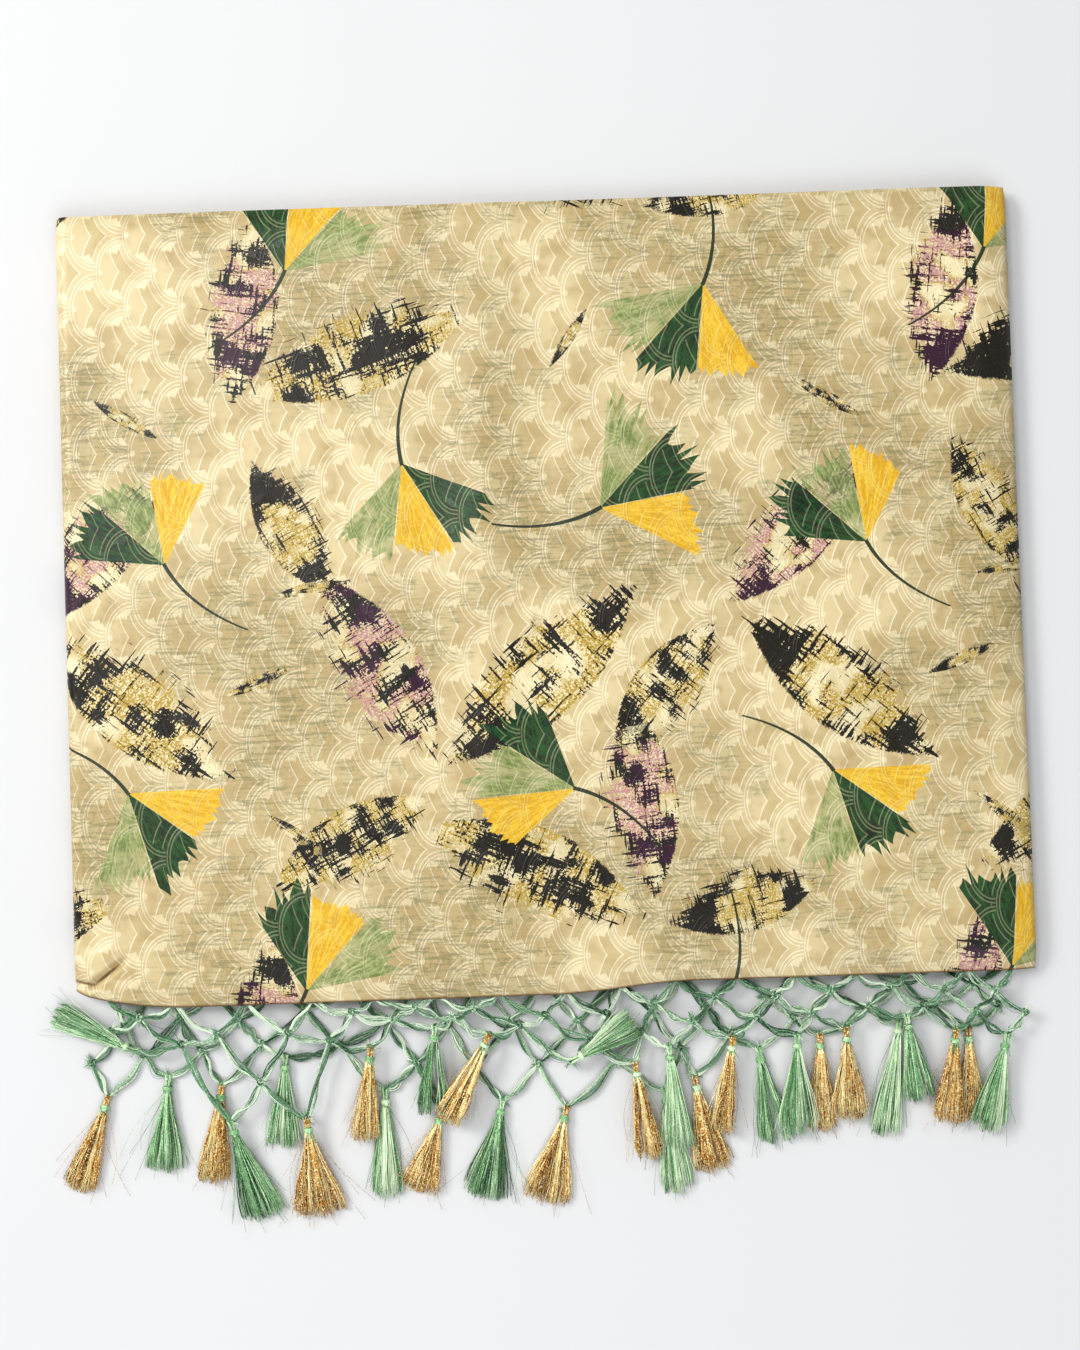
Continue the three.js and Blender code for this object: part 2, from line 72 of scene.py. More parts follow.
# Each tassel: which half of the pallu it hangs from, its silk, its binding, its tip and its fan's width.
TASSEL_COLUMNS = ("id", "half", "silk", "head", "tip", "fan")
TASSEL_ROWS = [
    ("01", "upper", "green", (-251, -259, 12.3), (-294, -239, 4), 15),
    ("02", "lower", "gold", (-266, -295, 3.1), (-283, -343, 2.4), 19),
    ("03", "lower", "green", (-229, -285, 3.1), (-234, -333, 2.4), 24),
    ("04", "lower", "gold", (-198, -291, 3.1), (-204, -341, 2.4), 18),
    ("05", "lower", "green", (-160, -275, 3.1), (-163, -322, 2.4), 19),
    ("06", "upper", "green", (-190, -311, 8.4), (-174, -363, 2.6), 25),
    ("07", "upper", "gold", (-147, -311, 8.4), (-141, -362, 2.6), 29),
    ("08", "upper", "gold", (-110, -271, 8.4), (-115, -319, 7.8), 17),
    ("09", "lower", "green", (-102, -297, 3.1), (-102, -353, 2.4), 18),
    ("10", "upper", "green", (-72, -260, 8.4), (-75, -306, 7.4), 16),
    ("11", "upper", "gold", (-43, -265, 11.2), (-67, -309, 11.2), 16),
    ("12", "lower", "gold", (-71, -309, 3.1), (-84, -351, 2.4), 22),
    ("13", "lower", "green", (-35, -305, 3.1), (-45, -355, 2.4), 28),
    ("14", "lower", "gold", (2, -310, 3.1), (-11, -359, 2.4), 26),
    ("15", "upper", "green", (13, -273, 12.3), (46, -254, 11.8), 18),
    ("16", "upper", "gold", (45, -285, 8.4), (51, -335, 7.4), 15),
    ("17", "upper", "green", (65, -276, 8.4), (70, -330, 7.8), 17),
    ("18", "lower", "green", (62, -302, 3.1), (67, -355, 2.4), 18),
    ("19", "lower", "gold", (80, -295, 3.1), (88, -344, 2.4), 20),
    ("20", "upper", "gold", (101, -272, 8.4), (95, -321, 7.4), 15),
    ("21", "lower", "green", (118, -280, 3.1), (126, -330, 2.4), 19),
    ("22", "upper", "green", (139, -272, 8.4), (139, -323, 7.4), 24),
    ("23", "lower", "gold", (153, -273, 3.1), (152, -323, 2.4), 17),
    ("24", "upper", "gold", (168, -269, 8.4), (169, -316, 7.4), 22),
    ("25", "lower", "green", (199, -266, 3.1), (189, -326, 2.4), 20),
    ("26", "upper", "green", (204, -263, 8.4), (210, -306, 5.6), 17),
    ("27", "upper", "gold", (231, -272, 8.4), (225, -321, 7.4), 16),
    ("28", "lower", "gold", (240, -272, 3.1), (239, -320, 2.4), 16),
    ("29", "upper", "green", (260, -276, 8.4), (247, -325, 7.4), 20),
]
TASSELS = [dict(zip(TASSEL_COLUMNS, row)) for row in TASSEL_ROWS]
for tassel_row in TASSELS:
    tassel_row["head"] = np.array(tassel_row["head"], dtype=float)
    tassel_row["tip"] = np.array(tassel_row["tip"], dtype=float)

# ---- the print ---------------------------
REPEAT = (410, 420)

# Fan flowers in one repeat: base, direction of the middle petal in degrees from up, which colour comes first,
# which way the stem curves, and size.
FAN_COLUMNS = ("u", "v", "turn", "order", "curl", "size")
FANS = [
    (35, 45, 62, 0, 1, 64),
    (190, 20, -28, 2, -1, 58),
    (330, 75, 168, 1, 1, 60),
    (100, 175, 205, 0, -1, 62),
    (265, 190, 24, 1, 1, 60),
    (15, 302, -75, 2, 1, 60),
    (165, 308, 145, 0, -1, 58),
]

# Leaves in one repeat: base, direction in degrees from up, length, width, and how much plum ink it takes.
LEAF_COLUMNS = ("u", "v", "turn", "length", "width", "plum")
LEAVES = [
    (352, 318, 48, 152, 52, 0),
    (345, 322, -30, 126, 48, 1),
    (340, 300, -118, 104, 40, 0),
    (238, 118, 72, 142, 48, 0),
    (232, 112, 8, 112, 42, 1),
    (242, 80, 152, 92, 36, 0),
    (52, 228, -66, 136, 50, 0),
    (60, 236, -6, 118, 42, 1),
    (66, 222, 76, 92, 36, 0),
    (118, 398, 128, 138, 50, 0),
    (108, 406, 44, 118, 42, 1),
    (100, 396, -140, 96, 38, 0),
    (150, 118, 122, 46, 8, 0),
    (286, 262, -52, 50, 8, 0),
    (222, 362, 68, 44, 8, 0),
    (8, 128, 34, 42, 7, 0),
    (300, 8, -100, 48, 8, 0),
]

# ---- cloth form --------------------------
CREASE_X, CREASE_HEIGHT, CREASE_HALF_WIDTH = -35, 0.9, 14
SWELL_HEIGHT, SWELL_X, SWELL_Y, SWELL_START = 0.7, 190, 260, 0.6
FRONT_DROP, FRONT_REACH = 5, 18
BACK_DROP, BACK_REACH = 4, 12
RIGHT_DROP, RIGHT_REACH = 6, 20

# Where the pleats below give way to the tucked corner, how far, and over what width and length.
ROOM_X, ROOM_Y, ROOM_DEPTH, ROOM_WIDTH, ROOM_LENGTH = -262, -216, 6.4, 36, 20

# How far from the tuck's folds their painted shade is full, and where it ends.
SHADE_FULL, SHADE_END = 0.3, 2.8


def smoothstep(x, low, high):
    t = np.clip((x - low) / (high - low), 0, 1)
    return t * t * (3 - 2 * t)


def lerp(a, b, t):
    return a + (b - a) * t


def pallu_end_y(x):
    belly = BELLY * (1 - smoothstep(x, 0, BELLY_FADE))
    corner = np.maximum(0, 1 - (x + HALF_WIDTH) / CORNER_REACH) ** CORNER_POWER
    return PALLU_END_Y - belly + CORNER_RISE * corner


def lower_end_y(x):
    return LOWER_END_Y - LOWER_BELLY * np.cos(x * math.pi / LOWER_SPAN)


def top_z(x, y):
    """The top's height before its creases, which rolls down at three edges."""
    crease = CREASE_HEIGHT * np.exp(-(((x - CREASE_X) / CREASE_HALF_WIDTH) ** 2))
    swell = SWELL_HEIGHT * np.sin(x * math.pi / SWELL_X + SWELL_START) * np.cos(y * math.pi / SWELL_Y)

    def roll(past, reach):
        return np.clip(past / reach, 0, 1) ** 2

    drop = (
        FRONT_DROP * roll(pallu_end_y(x) + FRONT_REACH - y, FRONT_REACH)
        + BACK_DROP * roll(y - PLEAT_END_Y + BACK_REACH, BACK_REACH)
        + RIGHT_DROP * roll(x - HALF_WIDTH + RIGHT_REACH, RIGHT_REACH)
    )
    return STACK_HEIGHT + crease + swell - drop


# Creases of the top panel: a line from one end to the other, how deep and how wide. Raised where negative.
CREASE_COLUMNS = ("from_x", "from_y", "to_x", "to_y", "depth", "width")

# The two folds of the tucked corner.
TUCK_ROWS = [
    (-287, -217.5, -264, -224.5, 4.6, 1.6),
    (-273, -226, -249, -208, 5.4, 1.9),
]

# The first three are the tuck's hollow, its puff and its lip; the next ones run beside the thick fold and the
# raised band down the middle; the rest are soft waves.
CREASE_ROWS = [
    (-262, -219, -243, -220, 1.8, 3.4),
    (-279, -209, -250, -201, -1.5, 6),
    (-266, -230.5, -222, -236, -1.0, 2.0),
    (-266, -150, -260, 200, 0.55, 5),
    (-68, -225, -58, 225, 1.1, 13),
    (-36, -215, -30, 215, -0.8, 11),
    (-8, -225, 0, 225, 0.8, 14),
    (-236, -205, -190, -120, 0.7, 10),
    (-190, -236, -120, -222, 0.5, 8),
    (110, -90, 250, -102, 0.55, 11),
    (-230, 40, -90, 52, 0.5, 12),
    (-150, -90, -110, 10, 0.5, 12),
    (30, -190, 120, -150, 0.5, 12),
    (60, 150, 220, 128, 0.5, 12),
    (255, -190, 262, 180, 0.4, 7),
    (-210, 120, -150, 215, 0.5, 13),
    (130, -20, 170, 90, -0.45, 14),
]
TUCK = [dict(zip(CREASE_COLUMNS, row)) for row in TUCK_ROWS]
CREASES = TUCK + [dict(zip(CREASE_COLUMNS, row)) for row in CREASE_ROWS]
CREASE_END = 0.02


def away_from(crease, x, y):
    """How far a place lies from a crease's line, and how strong the crease is there."""
    along_x, along_y = crease["to_x"] - crease["from_x"], crease["to_y"] - crease["from_y"]
    x, y = x - crease["from_x"], y - crease["from_y"]
    share = (x * along_x + y * along_y) / (along_x**2 + along_y**2)
    share = np.clip(share, CREASE_END, 1 - CREASE_END)
    return np.hypot(x - share * along_x, y - share * along_y), np.sin(math.pi * share) ** 0.5


def creased(x, y):
    z = top_z(x, y)
    for crease in CREASES:
        away, strength = away_from(crease, x, y)
        z = z - crease["depth"] * np.exp(-((away / crease["width"]) ** 2)) * strength
    return z


def tuck_painted_shade(x, y):
    """Painted shade in the tucked corner's folds: 0 in the folds, and 1 away from them and at their ends."""
    shade = np.ones_like(x)
    for crease in TUCK:
        away, strength = away_from(crease, x, y)
        shade = np.minimum(shade, 1 - (1 - smoothstep(away, SHADE_FULL, SHADE_END)) * strength)
    return shade


def room_for_tuck(x, y):
    """How far the pleats below give way to the tucked corner."""
    away = -(((x - ROOM_X) / ROOM_WIDTH) ** 2) - ((y - ROOM_Y) / ROOM_LENGTH) ** 2
    return ROOM_DEPTH * np.exp(away)


# ---- mesh making -------------------------

def new_object(name, points, groups):
    """A mesh object from points in millimetres, and arrays of faces that each have one number of corners."""
    sizes = np.concatenate([np.full(len(group), group.shape[1]) for group in groups])
    corners = np.concatenate([group.ravel() for group in groups])
    mesh = bpy.data.meshes.new(name)
    mesh.vertices.add(len(points))
    mesh.vertices.foreach_set("co", (points * MM).astype(np.float32).ravel())
    mesh.loops.add(len(corners))
    mesh.loops.foreach_set("vertex_index", corners.astype(np.int32))
    mesh.polygons.add(len(sizes))
    mesh.polygons.foreach_set("loop_start", np.concatenate([[0], np.cumsum(sizes)[:-1]]).astype(np.int32))
    mesh.update(calc_edges=True)
    mesh.validate()
    mesh.shade_smooth()
    made = bpy.data.objects.new(name, mesh)
    bpy.context.scene.collection.objects.link(made)
    return made


def grid_faces(columns, rows):
    """Quads of a grid whose points run row by row within each column."""
    column, row = np.meshgrid(np.arange(columns - 1), np.arange(rows - 1), indexing="ij")
    corner = (column * rows + row).ravel()
    return np.stack([corner, corner + 1, corner + rows + 1, corner + rows], axis=1)


def by_corner(made, values):
    """What is given for each point, for each corner of each face."""
    corner_vertex = np.empty(len(made.data.loops), dtype=np.int32)
    made.data.loops.foreach_get("vertex_index", corner_vertex)
    return values[corner_vertex]


def add_uv(made, name, values):
    layer = made.data.uv_layers.new(name=name)
    layer.data.foreach_set("uv", np.asarray(values, dtype=np.float32).ravel())


def add_tone(made, values):
    """A shade from 0 to 1 for each point."""
    attribute = made.data.attributes.new("tone", "FLOAT", "POINT")
    attribute.data.foreach_set("value", np.asarray(values, dtype=np.float32))


def across_and_up(along):
    """Directions across a path and up from it."""
    side = np.cross((0, 0, 1), along)
    side = side / np.linalg.norm(side, axis=-1, keepdims=True)
    return side, np.cross(along, side)


TABLE_GAP = 0.1


class Strands:
    """Gathers closed threads of a few sides, to make one mesh of them."""

    def __init__(self):
        self.points, self.quads, self.caps, self.tones, self.count = [], [], [], [], 0

    def add(self, paths, radii, tones, sides=3):
        """Paths is (threads, places, 3); radii and tones fit (threads, places). None goes below the table."""
        paths = np.array(paths, dtype=float)
        threads, places, _ = paths.shape
        radii = np.broadcast_to(radii, (threads, places))
        tones = np.broadcast_to(tones, (threads, places))
        paths[..., 2] = np.maximum(paths[..., 2], radii + TABLE_GAP)
        along = np.gradient(paths, axis=1)
        along /= np.linalg.norm(along, axis=2, keepdims=True) + 1e-9
        up = np.where(np.abs(along[..., 2:]) > 0.9, (1.0, 0.0, 0.0), (0.0, 0.0, 1.0))
        side = np.cross(up, along)
        side /= np.linalg.norm(side, axis=2, keepdims=True) + 1e-9
        rise = np.cross(along, side)
        turns = (np.arange(sides) * 2 * math.pi / sides)[:, None]
        ring = side[:, :, None, :] * np.cos(turns) + rise[:, :, None, :] * np.sin(turns)
        points = paths[:, :, None, :] + ring * radii[:, :, None, None]
        index = np.arange(threads * places * sides).reshape(threads, places, sides) + self.count
        after = np.roll(index, -1, axis=2)
        quads = np.stack([index[:, :-1], after[:, :-1], after[:, 1:], index[:, 1:]], axis=-1)
        self.points.append(points.reshape(-1, 3))
        self.quads.append(quads.reshape(-1, 4))
        self.caps.append(np.concatenate([index[:, 0, ::-1], index[:, -1, :]]))
        self.tones.append(np.repeat(tones.ravel(), sides))
        self.count += threads * places * sides

    def make(self, name):
        """One mesh of all threads, with a tone for each point."""
        faces = [np.concatenate(self.quads)]
        for sides in sorted({group.shape[1] for group in self.caps}):
            faces.append(np.concatenate([cap for cap in self.caps if cap.shape[1] == sides]))
        made = new_object(name, np.concatenate(self.points), faces)
        add_tone(made, np.concatenate(self.tones))
        return made


# ---- print coordinates -------------------

def repeated(rows, columns, u_range, v_range):
    """Every copy of the motifs that lies on a stretch of cloth, as one array for each column."""
    steps = []
    for (low, high), repeat in zip((u_range, v_range), REPEAT):
        steps.append(range(math.floor(low / repeat) - 1, math.ceil(high / repeat) + 2))
    copies = []
    for i, j, (u, v, *rest) in itertools.product(*steps, rows):
        copies.append((u + i * REPEAT[0], v + j * REPEAT[1], *rest))
    return dict(zip(columns, np.array(copies, dtype=float).T))


def local(motif, chosen, u, v):
    """Coordinates across and along the chosen motif, in millimetres from its base."""
    turn = np.radians(motif["turn"][chosen])
    du, dv = u - motif["u"][chosen], v - motif["v"][chosen]
    return du * np.cos(turn) - dv * np.sin(turn), du * np.sin(turn) + dv * np.cos(turn)


def add_print(made, cloth_uv):
    """Gives a cloth its own coordinates, and those on the nearest fan and on the two nearest leaves."""
    face_of_corner = np.repeat(np.arange(len(made.data.polygons)), 4)
    uv = by_corner(made, cloth_uv)
    centre = uv.reshape(-1, 4, 2).mean(axis=1)
    add_uv(made, "cloth", uv * MM)
    u_range = (uv[:, 0].min(), uv[:, 0].max())
    v_range = (uv[:, 1].min(), uv[:, 1].max())

    fans = repeated(FANS, FAN_COLUMNS, u_range, v_range)
    away = np.hypot(centre[:, :1] - fans["u"], centre[:, 1:] - fans["v"])
    chosen = away.argmin(axis=1)[face_of_corner]
    across, along = local(fans, chosen, uv[:, 0], uv[:, 1])
    size = fans["size"][chosen]
    add_uv(made, "fan", np.stack([across * fans["curl"][chosen] / size, along / size], axis=1))
    add_uv(made, "fan_kind", np.stack([fans["order"][chosen], (chosen * 0.37) % 1], axis=1))

    leaves = repeated(LEAVES, LEAF_COLUMNS, u_range, v_range)
    everyone = np.arange(len(leaves["u"]))[None, :]
    across, along = local(leaves, everyone, centre[:, :1], centre[:, 1:])
    closeness = (2 * along / leaves["length"] - 1) ** 2 + (2 * across / leaves["width"]) ** 2
    ranked = closeness.argsort(axis=1)
    for place, name in enumerate(("leaf", "second_leaf")):
        chosen = ranked[:, place][face_of_corner]
        across, along = local(leaves, chosen, uv[:, 0], uv[:, 1])
        length, width = leaves["length"][chosen], leaves["width"][chosen]
        add_uv(made, name, np.stack([2 * across / width, along / length], axis=1))
        add_uv(made, name + "_kind", np.stack([leaves["plum"][chosen], (chosen * 0.83) % 1], axis=1))


# ---- shader fields -----------------------

def operation(name):
    """A method that joins a field with others by a math node."""
    return lambda self, *others: self.math(name, *others)


class Field:
    """An output of a shader's node that can be used in sums."""

    def __init__(self, tree, socket):
        self.tree, self.socket = tree, socket

    def math(self, name, *others, clamp=False):
        node = self.tree.nodes.new("ShaderNodeMath")
        node.operation, node.use_clamp = name, clamp
        for place, value in enumerate((self, *others)):
            plug(self.tree, value, node.inputs[place])
        return Field(self.tree, node.outputs[0])

    __add__ = operation("ADD")
    __sub__ = operation("SUBTRACT")
    __mul__ = operation("MULTIPLY")
    __truediv__ = operation("DIVIDE")
    __pow__ = operation("POWER")
    __abs__ = operation("ABSOLUTE")
    __gt__ = operation("GREATER_THAN")
    __lt__ = operation("LESS_THAN")
    least = operation("MINIMUM")
    most = operation("MAXIMUM")
    fraction = operation("FRACT")
    root = operation("SQRT")
    sine = operation("SINE")

    def __rsub__(self, other):
        return self * -1 + other

    def ease(self, low, high):
        """From 0 at low to 1 at high, smoothly."""
        node = self.tree.nodes.new("ShaderNodeMapRange")
        node.interpolation_type = "SMOOTHSTEP"
        for place, value in enumerate((self, low, high)):
            plug(self.tree, value, node.inputs[place])
        return Field(self.tree, node.outputs[0])


def plug(tree, value, socket):
    if isinstance(value, Field):
        tree.links.new(value.socket, socket)
    else:
        socket.default_value = value


def srgb(code):
    """A hex colour as linear values."""
    parts = [int(code[i : i + 2], 16) / 255 for i in (1, 3, 5)]
    return (*[c / 12.92 if c <= 0.04045 else ((c + 0.055) / 1.055) ** 2.4 for c in parts], 1.0)


class Shader:
    """A material with one Principled shader, and short names for the nodes that it uses."""

    def __init__(self, name, **settings):
        self.material = bpy.data.materials.new(name)
        self.material.use_nodes = True
        self.tree = self.material.node_tree
        self.principled = self.tree.nodes["Principled BSDF"]
        for socket, value in settings.items():
            self.principled.inputs[socket.replace("_", " ")].default_value = value

    def node(self, kind, inputs=(), output=0, **settings):
        node = self.tree.nodes.new(kind)
        for key, value in settings.items():
            setattr(node, key, value)
        for key, value in dict(inputs).items():
            plug(self.tree, value, node.inputs[key])
        return Field(self.tree, node.outputs[output])

    def uv(self, name):
        """The two coordinates of a UV map."""
        vector = self.node("ShaderNodeUVMap", uv_map=name)
        return self.parts(vector)[:2]

    def parts(self, vector):
        node = self.tree.nodes.new("ShaderNodeSeparateXYZ")
        plug(self.tree, vector, node.inputs[0])
        return [Field(self.tree, socket) for socket in node.outputs]

    def vector(self, x, y, z=0.0):
        return self.node("ShaderNodeCombineXYZ", {0: x, 1: y, 2: z})

    def noise(self, vector, scale, detail=2.0, roughness=0.5):
        inputs = {"Vector": vector, "Scale": scale, "Detail": detail, "Roughness": roughness}
        return self.node("ShaderNodeTexNoise", inputs)

    def attribute(self, name):
        return self.node("ShaderNodeAttribute", output="Fac", attribute_name=name)

    def mix(self, share, a, b):
        """Colour a where the share is 0, and b where it is 1."""
        node = self.tree.nodes.new("ShaderNodeMix")
        node.data_type = "RGBA"
        plug(self.tree, share, node.inputs[0])
        for value, socket in ((a, node.inputs[6]), (b, node.inputs[7])):
            plug(self.tree, srgb(value) if isinstance(value, str) else value, socket)
        return Field(self.tree, node.outputs[2])

    def bump(self, height, distance, strength, **more):
        inputs = {"Height": height, "Distance": distance, "Strength": strength, **more}
        return self.node("ShaderNodeBump", inputs)

    def finish(self, color, roughness, normal):
        for value, name in ((color, "Base Color"), (roughness, "Roughness"), (normal, "Normal")):
            plug(self.tree, value, self.principled.inputs[name])
        return self.material


# ---- the printed silk --------------------
SCALE_ACROSS, SCALE_ALONG = 43, 32
TWILL_PITCH = 1.5

# The woven lines inside a scale's rim, those round its neighbour, and how thick they are.
RIM_LINES, NEIGHBOUR_LINES, LINE = (0.05, 0.155), (1.13, 1.5), 0.032


def stroke(away, width):
    """A line where the distance given is near nothing."""
    return abs(away).ease(width, width * 0.35)


def jacquard(u, v):
    """The woven figure's lines, its satin petals and its darker hollows, each from 0 to 1.

    It is a half-dropped lattice of scales that lie on their sides, round end left. A scale's own coordinates
    run from -1 to 1 across it and along it, and its two neighbours lie over its pointed end.
    """
    a, b = v / (SCALE_ACROSS * MM), u / (SCALE_ALONG * -MM)
    first_line, last_line = NEIGHBOUR_LINES

    def scale(shift):
        x = ((a + shift).fraction() - 0.5) * 2
        y = ((b + shift).fraction() - 0.5) * 2
        return x, y, (x * x + y * y).root()

    x0, y0, far0 = scale(0.5)
    x1, y1, far1 = scale(0.0)
    inside0, inside1 = far0 < 1.0, far1 < 1.0
    above = y1 > y0
    pick = above * inside1 + (1 - above) * (1 - inside0)
    x = abs(x0 + (x1 - x0) * pick)
    y = y0 + (y1 - y0) * pick
    rim = 1 - (far0 + (far1 - far0) * pick)
    angle = x.math("ARCTAN2", y)
    from_neighbour = ((x - 1) ** 2 + (y + 1) ** 2).root()

    arcs = stroke(rim - RIM_LINES[0], LINE).most(stroke(rim - RIM_LINES[1], LINE))
    within = rim.ease(0.22, 0.26)
    brackets = stroke(from_neighbour - first_line, 0.03).most(stroke(from_neighbour - last_line, LINE))
    shoulder = abs(angle - 1.2) / 0.62
    petals = (rim - 0.2).ease(0.0, 0.03) * (shoulder * -0.34 + 0.52 - rim).ease(0.0, 0.07)
    bud = (x * x * 1.4 + (y - 0.8) ** 2).root().ease(0.12, 0.08)
    hollow = from_neighbour.ease(first_line, 1.16) * from_neighbour.ease(last_line, 1.46)
    return arcs.most(brackets * within), petals.most(bud), hollow * within * (1 - petals)


def silk_print(name, printed=True):
    """Satin with a woven figure, and over it the print."""
    shader = Shader(name, Sheen_Weight=0.04, Sheen_Roughness=0.35, Specular_IOR_Level=0.36)
    u, v = shader.uv("cloth")
    cloth = shader.vector(u, v)
    lines, satin, hollow = jacquard(u, v)
    twill = ((u + v * 0.8) / (TWILL_PITCH * MM) * 2 * math.pi).sine() * 0.5 + 0.5

    # Noise that runs along and across the cloth, in blotches, and in specks.
    run = shader.noise(shader.vector(u * 55, v * 560), 1.0, 3.0, 0.65)
    cross = shader.noise(shader.vector(u * 560, v * 70), 1.0, 3.0, 0.65)
    blotch = shader.noise(cloth, 62.0, 3.0, 0.6)
    broad = shader.noise(cloth, 9.0, 2.0, 0.5)
    speck = shader.noise(cloth, 480.0, 2.0, 0.65)

    worn = blotch * 0.55 + broad * 0.45
    ground = shader.mix(worn.ease(0.4, 0.6), "#b7a378", "#d9c89d")
    ground = shader.mix(twill * 0.3, ground, "#98814f")
    ground = shader.mix(hollow * 0.3, ground, "#a38c58")
    ground = shader.mix(satin * 0.4, ground, "#eee3c0")
    faded = (blotch * 0.6 + speck * 0.4).ease(0.36, 0.56) * 0.3 + 0.18
    ground = shader.mix(lines * faded, ground, "#fdf6dd")
    smudge = (1.04 - broad + (blotch - 0.5) * 0.6).ease(0.48, 0.64)
    scratch = (run * 0.85 + speck * 0.35).ease(0.57, 0.68) * smudge * 0.68
    rare = (cross * 0.85 + speck * 0.35).ease(0.62, 0.72) * smudge * 0.55
    haze = smudge * blotch.ease(0.4, 0.65) * 0.26
    color = shader.mix(scratch.most(rare).most(haze), ground, "#7d7853")

    if printed:
        color = leaf_ink(shader, color)
        color = fan_ink(shader, color, blotch, speck, lines)
        # Painted shade in brown: in the tucked corner's folds, and along the hem line, which is partly the
        # rolled edge's own colour and partly painted shade.
        hem = shader.attribute("tone")
        color = shader.mix(hem.ease(0.35, 0.05) * 0.75, color, "#6a421c")

    fine = shader.noise(shader.vector(u * 2400, v * 1100), 1.0, 1.0)
    normal = shader.bump(lines + satin * 0.6, 0.00022, 0.6)
    normal = shader.bump(fine * 0.6 + twill * 0.25, 0.00006, 0.35, Normal=normal)
    roughness = lines.most(satin) * -0.1 + fine * 0.12 + 0.34
    return shader.finish(color, roughness, normal)


LEAF_HALF_WIDTH, LEAF_LENGTH = 20, 118


def leaf_ink(shader, color):
    """Pointed leaves filled with broken black and ochre ink, some with plum."""
    for name in ("second_leaf", "leaf"):
        across, along = shader.uv(name)
        plum, seed = shader.uv(name + "_kind")
        x, y = across * LEAF_HALF_WIDTH, along * LEAF_LENGTH
        shift = seed * 40
        long_lines = shader.noise(shader.vector(x * 0.56, y * 0.05, shift), 1.0, 2.0, 0.6)
        short_lines = shader.noise(shader.vector(x * 0.06, y * 0.56, shift), 1.0, 2.0, 0.6)
        hatch = long_lines.most(short_lines)
        grain = shader.noise(shader.vector(x, y, shift), 0.9, 2.0, 0.7)
        patch = shader.noise(shader.vector(x, y, shift), 0.05, 1.0, 0.5)
        second_patch = shader.noise(shader.vector(x, y, shift + 7), 0.055, 1.0, 0.5)

        middle = along * 2 - 1
        edge = 1 - middle * middle - abs(across)
        open_side = across.ease(0.3, -0.2)
        ragged = edge + (hatch - 0.6) * (open_side * 1.9 + 0.15) + (grain - 0.5) * 0.2
        inside = ragged.ease(0.0, 0.05) * (along > -0.06) * (along < 1.06)

        tips = middle * middle * 0.16
        heavy = patch + tips + across * 0.035
        black = (heavy + (hatch - 0.55) * 0.85 + (grain - 0.5) * 0.4 - 0.55).ease(0.0, 0.01)
        grid = (hatch - 0.645 + (grain - 0.5) * 0.12).ease(0.0, 0.01)
        black = black.most(grid)

        ochre = (second_patch - 0.38).ease(0.0, 0.12) * (grain * 0.75 + hatch * 0.5 - 0.57).ease(0.0, 0.06)
        wash = shader.mix(ochre * 0.9, "#f1e6bd", "#a3850a")
        wash_share = ochre.most(0.42)
        pink = plum * (second_patch - 0.46).ease(0.0, 0.06)
        wash = shader.mix(pink * grain.ease(0.35, 0.6) * 0.8, wash, "#b9829c")
        dark = shader.mix(pink * 0.8, shader.mix(grain.ease(0.4, 0.7), "#030302", "#1d1a15"), "#36102f")
        color = shader.mix(inside * wash_share, color, wash)
        color = shader.mix(inside * black * 0.98, color, dark)
    return color


FAN_STEP = 0.66
FAN_TEETH = 6


def fan_ink(shader, color, blotch, speck, lines):
    """Three toothed petals on a curved stem. Along and across are in units of the petals' length."""
    across, along = shader.uv("fan")
    order, seed = shader.uv("fan_kind")
    away = (across * across + along * along).root()
    angle = across.math("ARCTAN2", along)
    petal = (angle / FAN_STEP).math("ROUND").most(-1.0).least(1.0)
    turned = angle / FAN_STEP - petal
    kind = (petal + order + 3).math("MODULO", 3.0)

    # Teeth: a zigzag over the petal, with its own width, height and slant for each tooth.
    place = (turned + 0.5) * FAN_TEETH
    place = place + (place * 2.3 + petal * 2 + seed * 20).sine() * 0.28
    tooth = place.math("FLOOR")
    spike = (abs(place.fraction() - 0.56) * -2 + 1) ** 1.25
    luck = ((tooth * 12.9898 + petal * 78.233 + seed * 37.7).sine() * 43.758).fraction()
    depth = (abs(kind - 1) * 0.6 + 0.4) * (luck * 0.14 + 0.08)
    tilt = (petal * 4.7 + seed * 9.1).sine() * turned * 0.22
    reach = spike * depth + tilt + 0.86
    wobble = (speck - 0.5) * 0.02
    inside = (reach + wobble - away).ease(-0.004, 0.01) * (abs(turned) + wobble * 0.5 < 0.485)

    streak = shader.noise(shader.vector(angle * 26, away * 5, seed * 30), 1.0, 2.0, 0.6)
    grain = streak * 0.5 + speck * 0.3 + blotch * 0.2
    green = shader.mix(grain.ease(0.4, 0.6), "#03200e", "#174f20")
    yellow = shader.mix(grain.ease(0.4, 0.6), "#c99a14", "#e0bb3e")
    sage = shader.mix(grain.ease(0.4, 0.6), "#6d7d45", "#a0a770")
    paint = shader.mix(kind > 0.5, green, yellow)
    paint = shader.mix(kind > 1.5, paint, sage)
    paint = shader.mix(lines * 0.18, paint, "#e4dfae")
    thin = (kind > 1.5) * blotch.ease(0.42, 0.6) * 0.45
    color = shader.mix(inside * (0.97 - thin), color, paint)

    bend = along * along * -0.42
    stem_width = (along + 1.05) * 0.009 + 0.01
    on_stem = (abs(across - bend) < stem_width) * (along < 0.02) * (along > -0.98)
    return shader.mix(on_stem * 0.95, color, "#152a1a")


# ---- silk and metal threads --------------

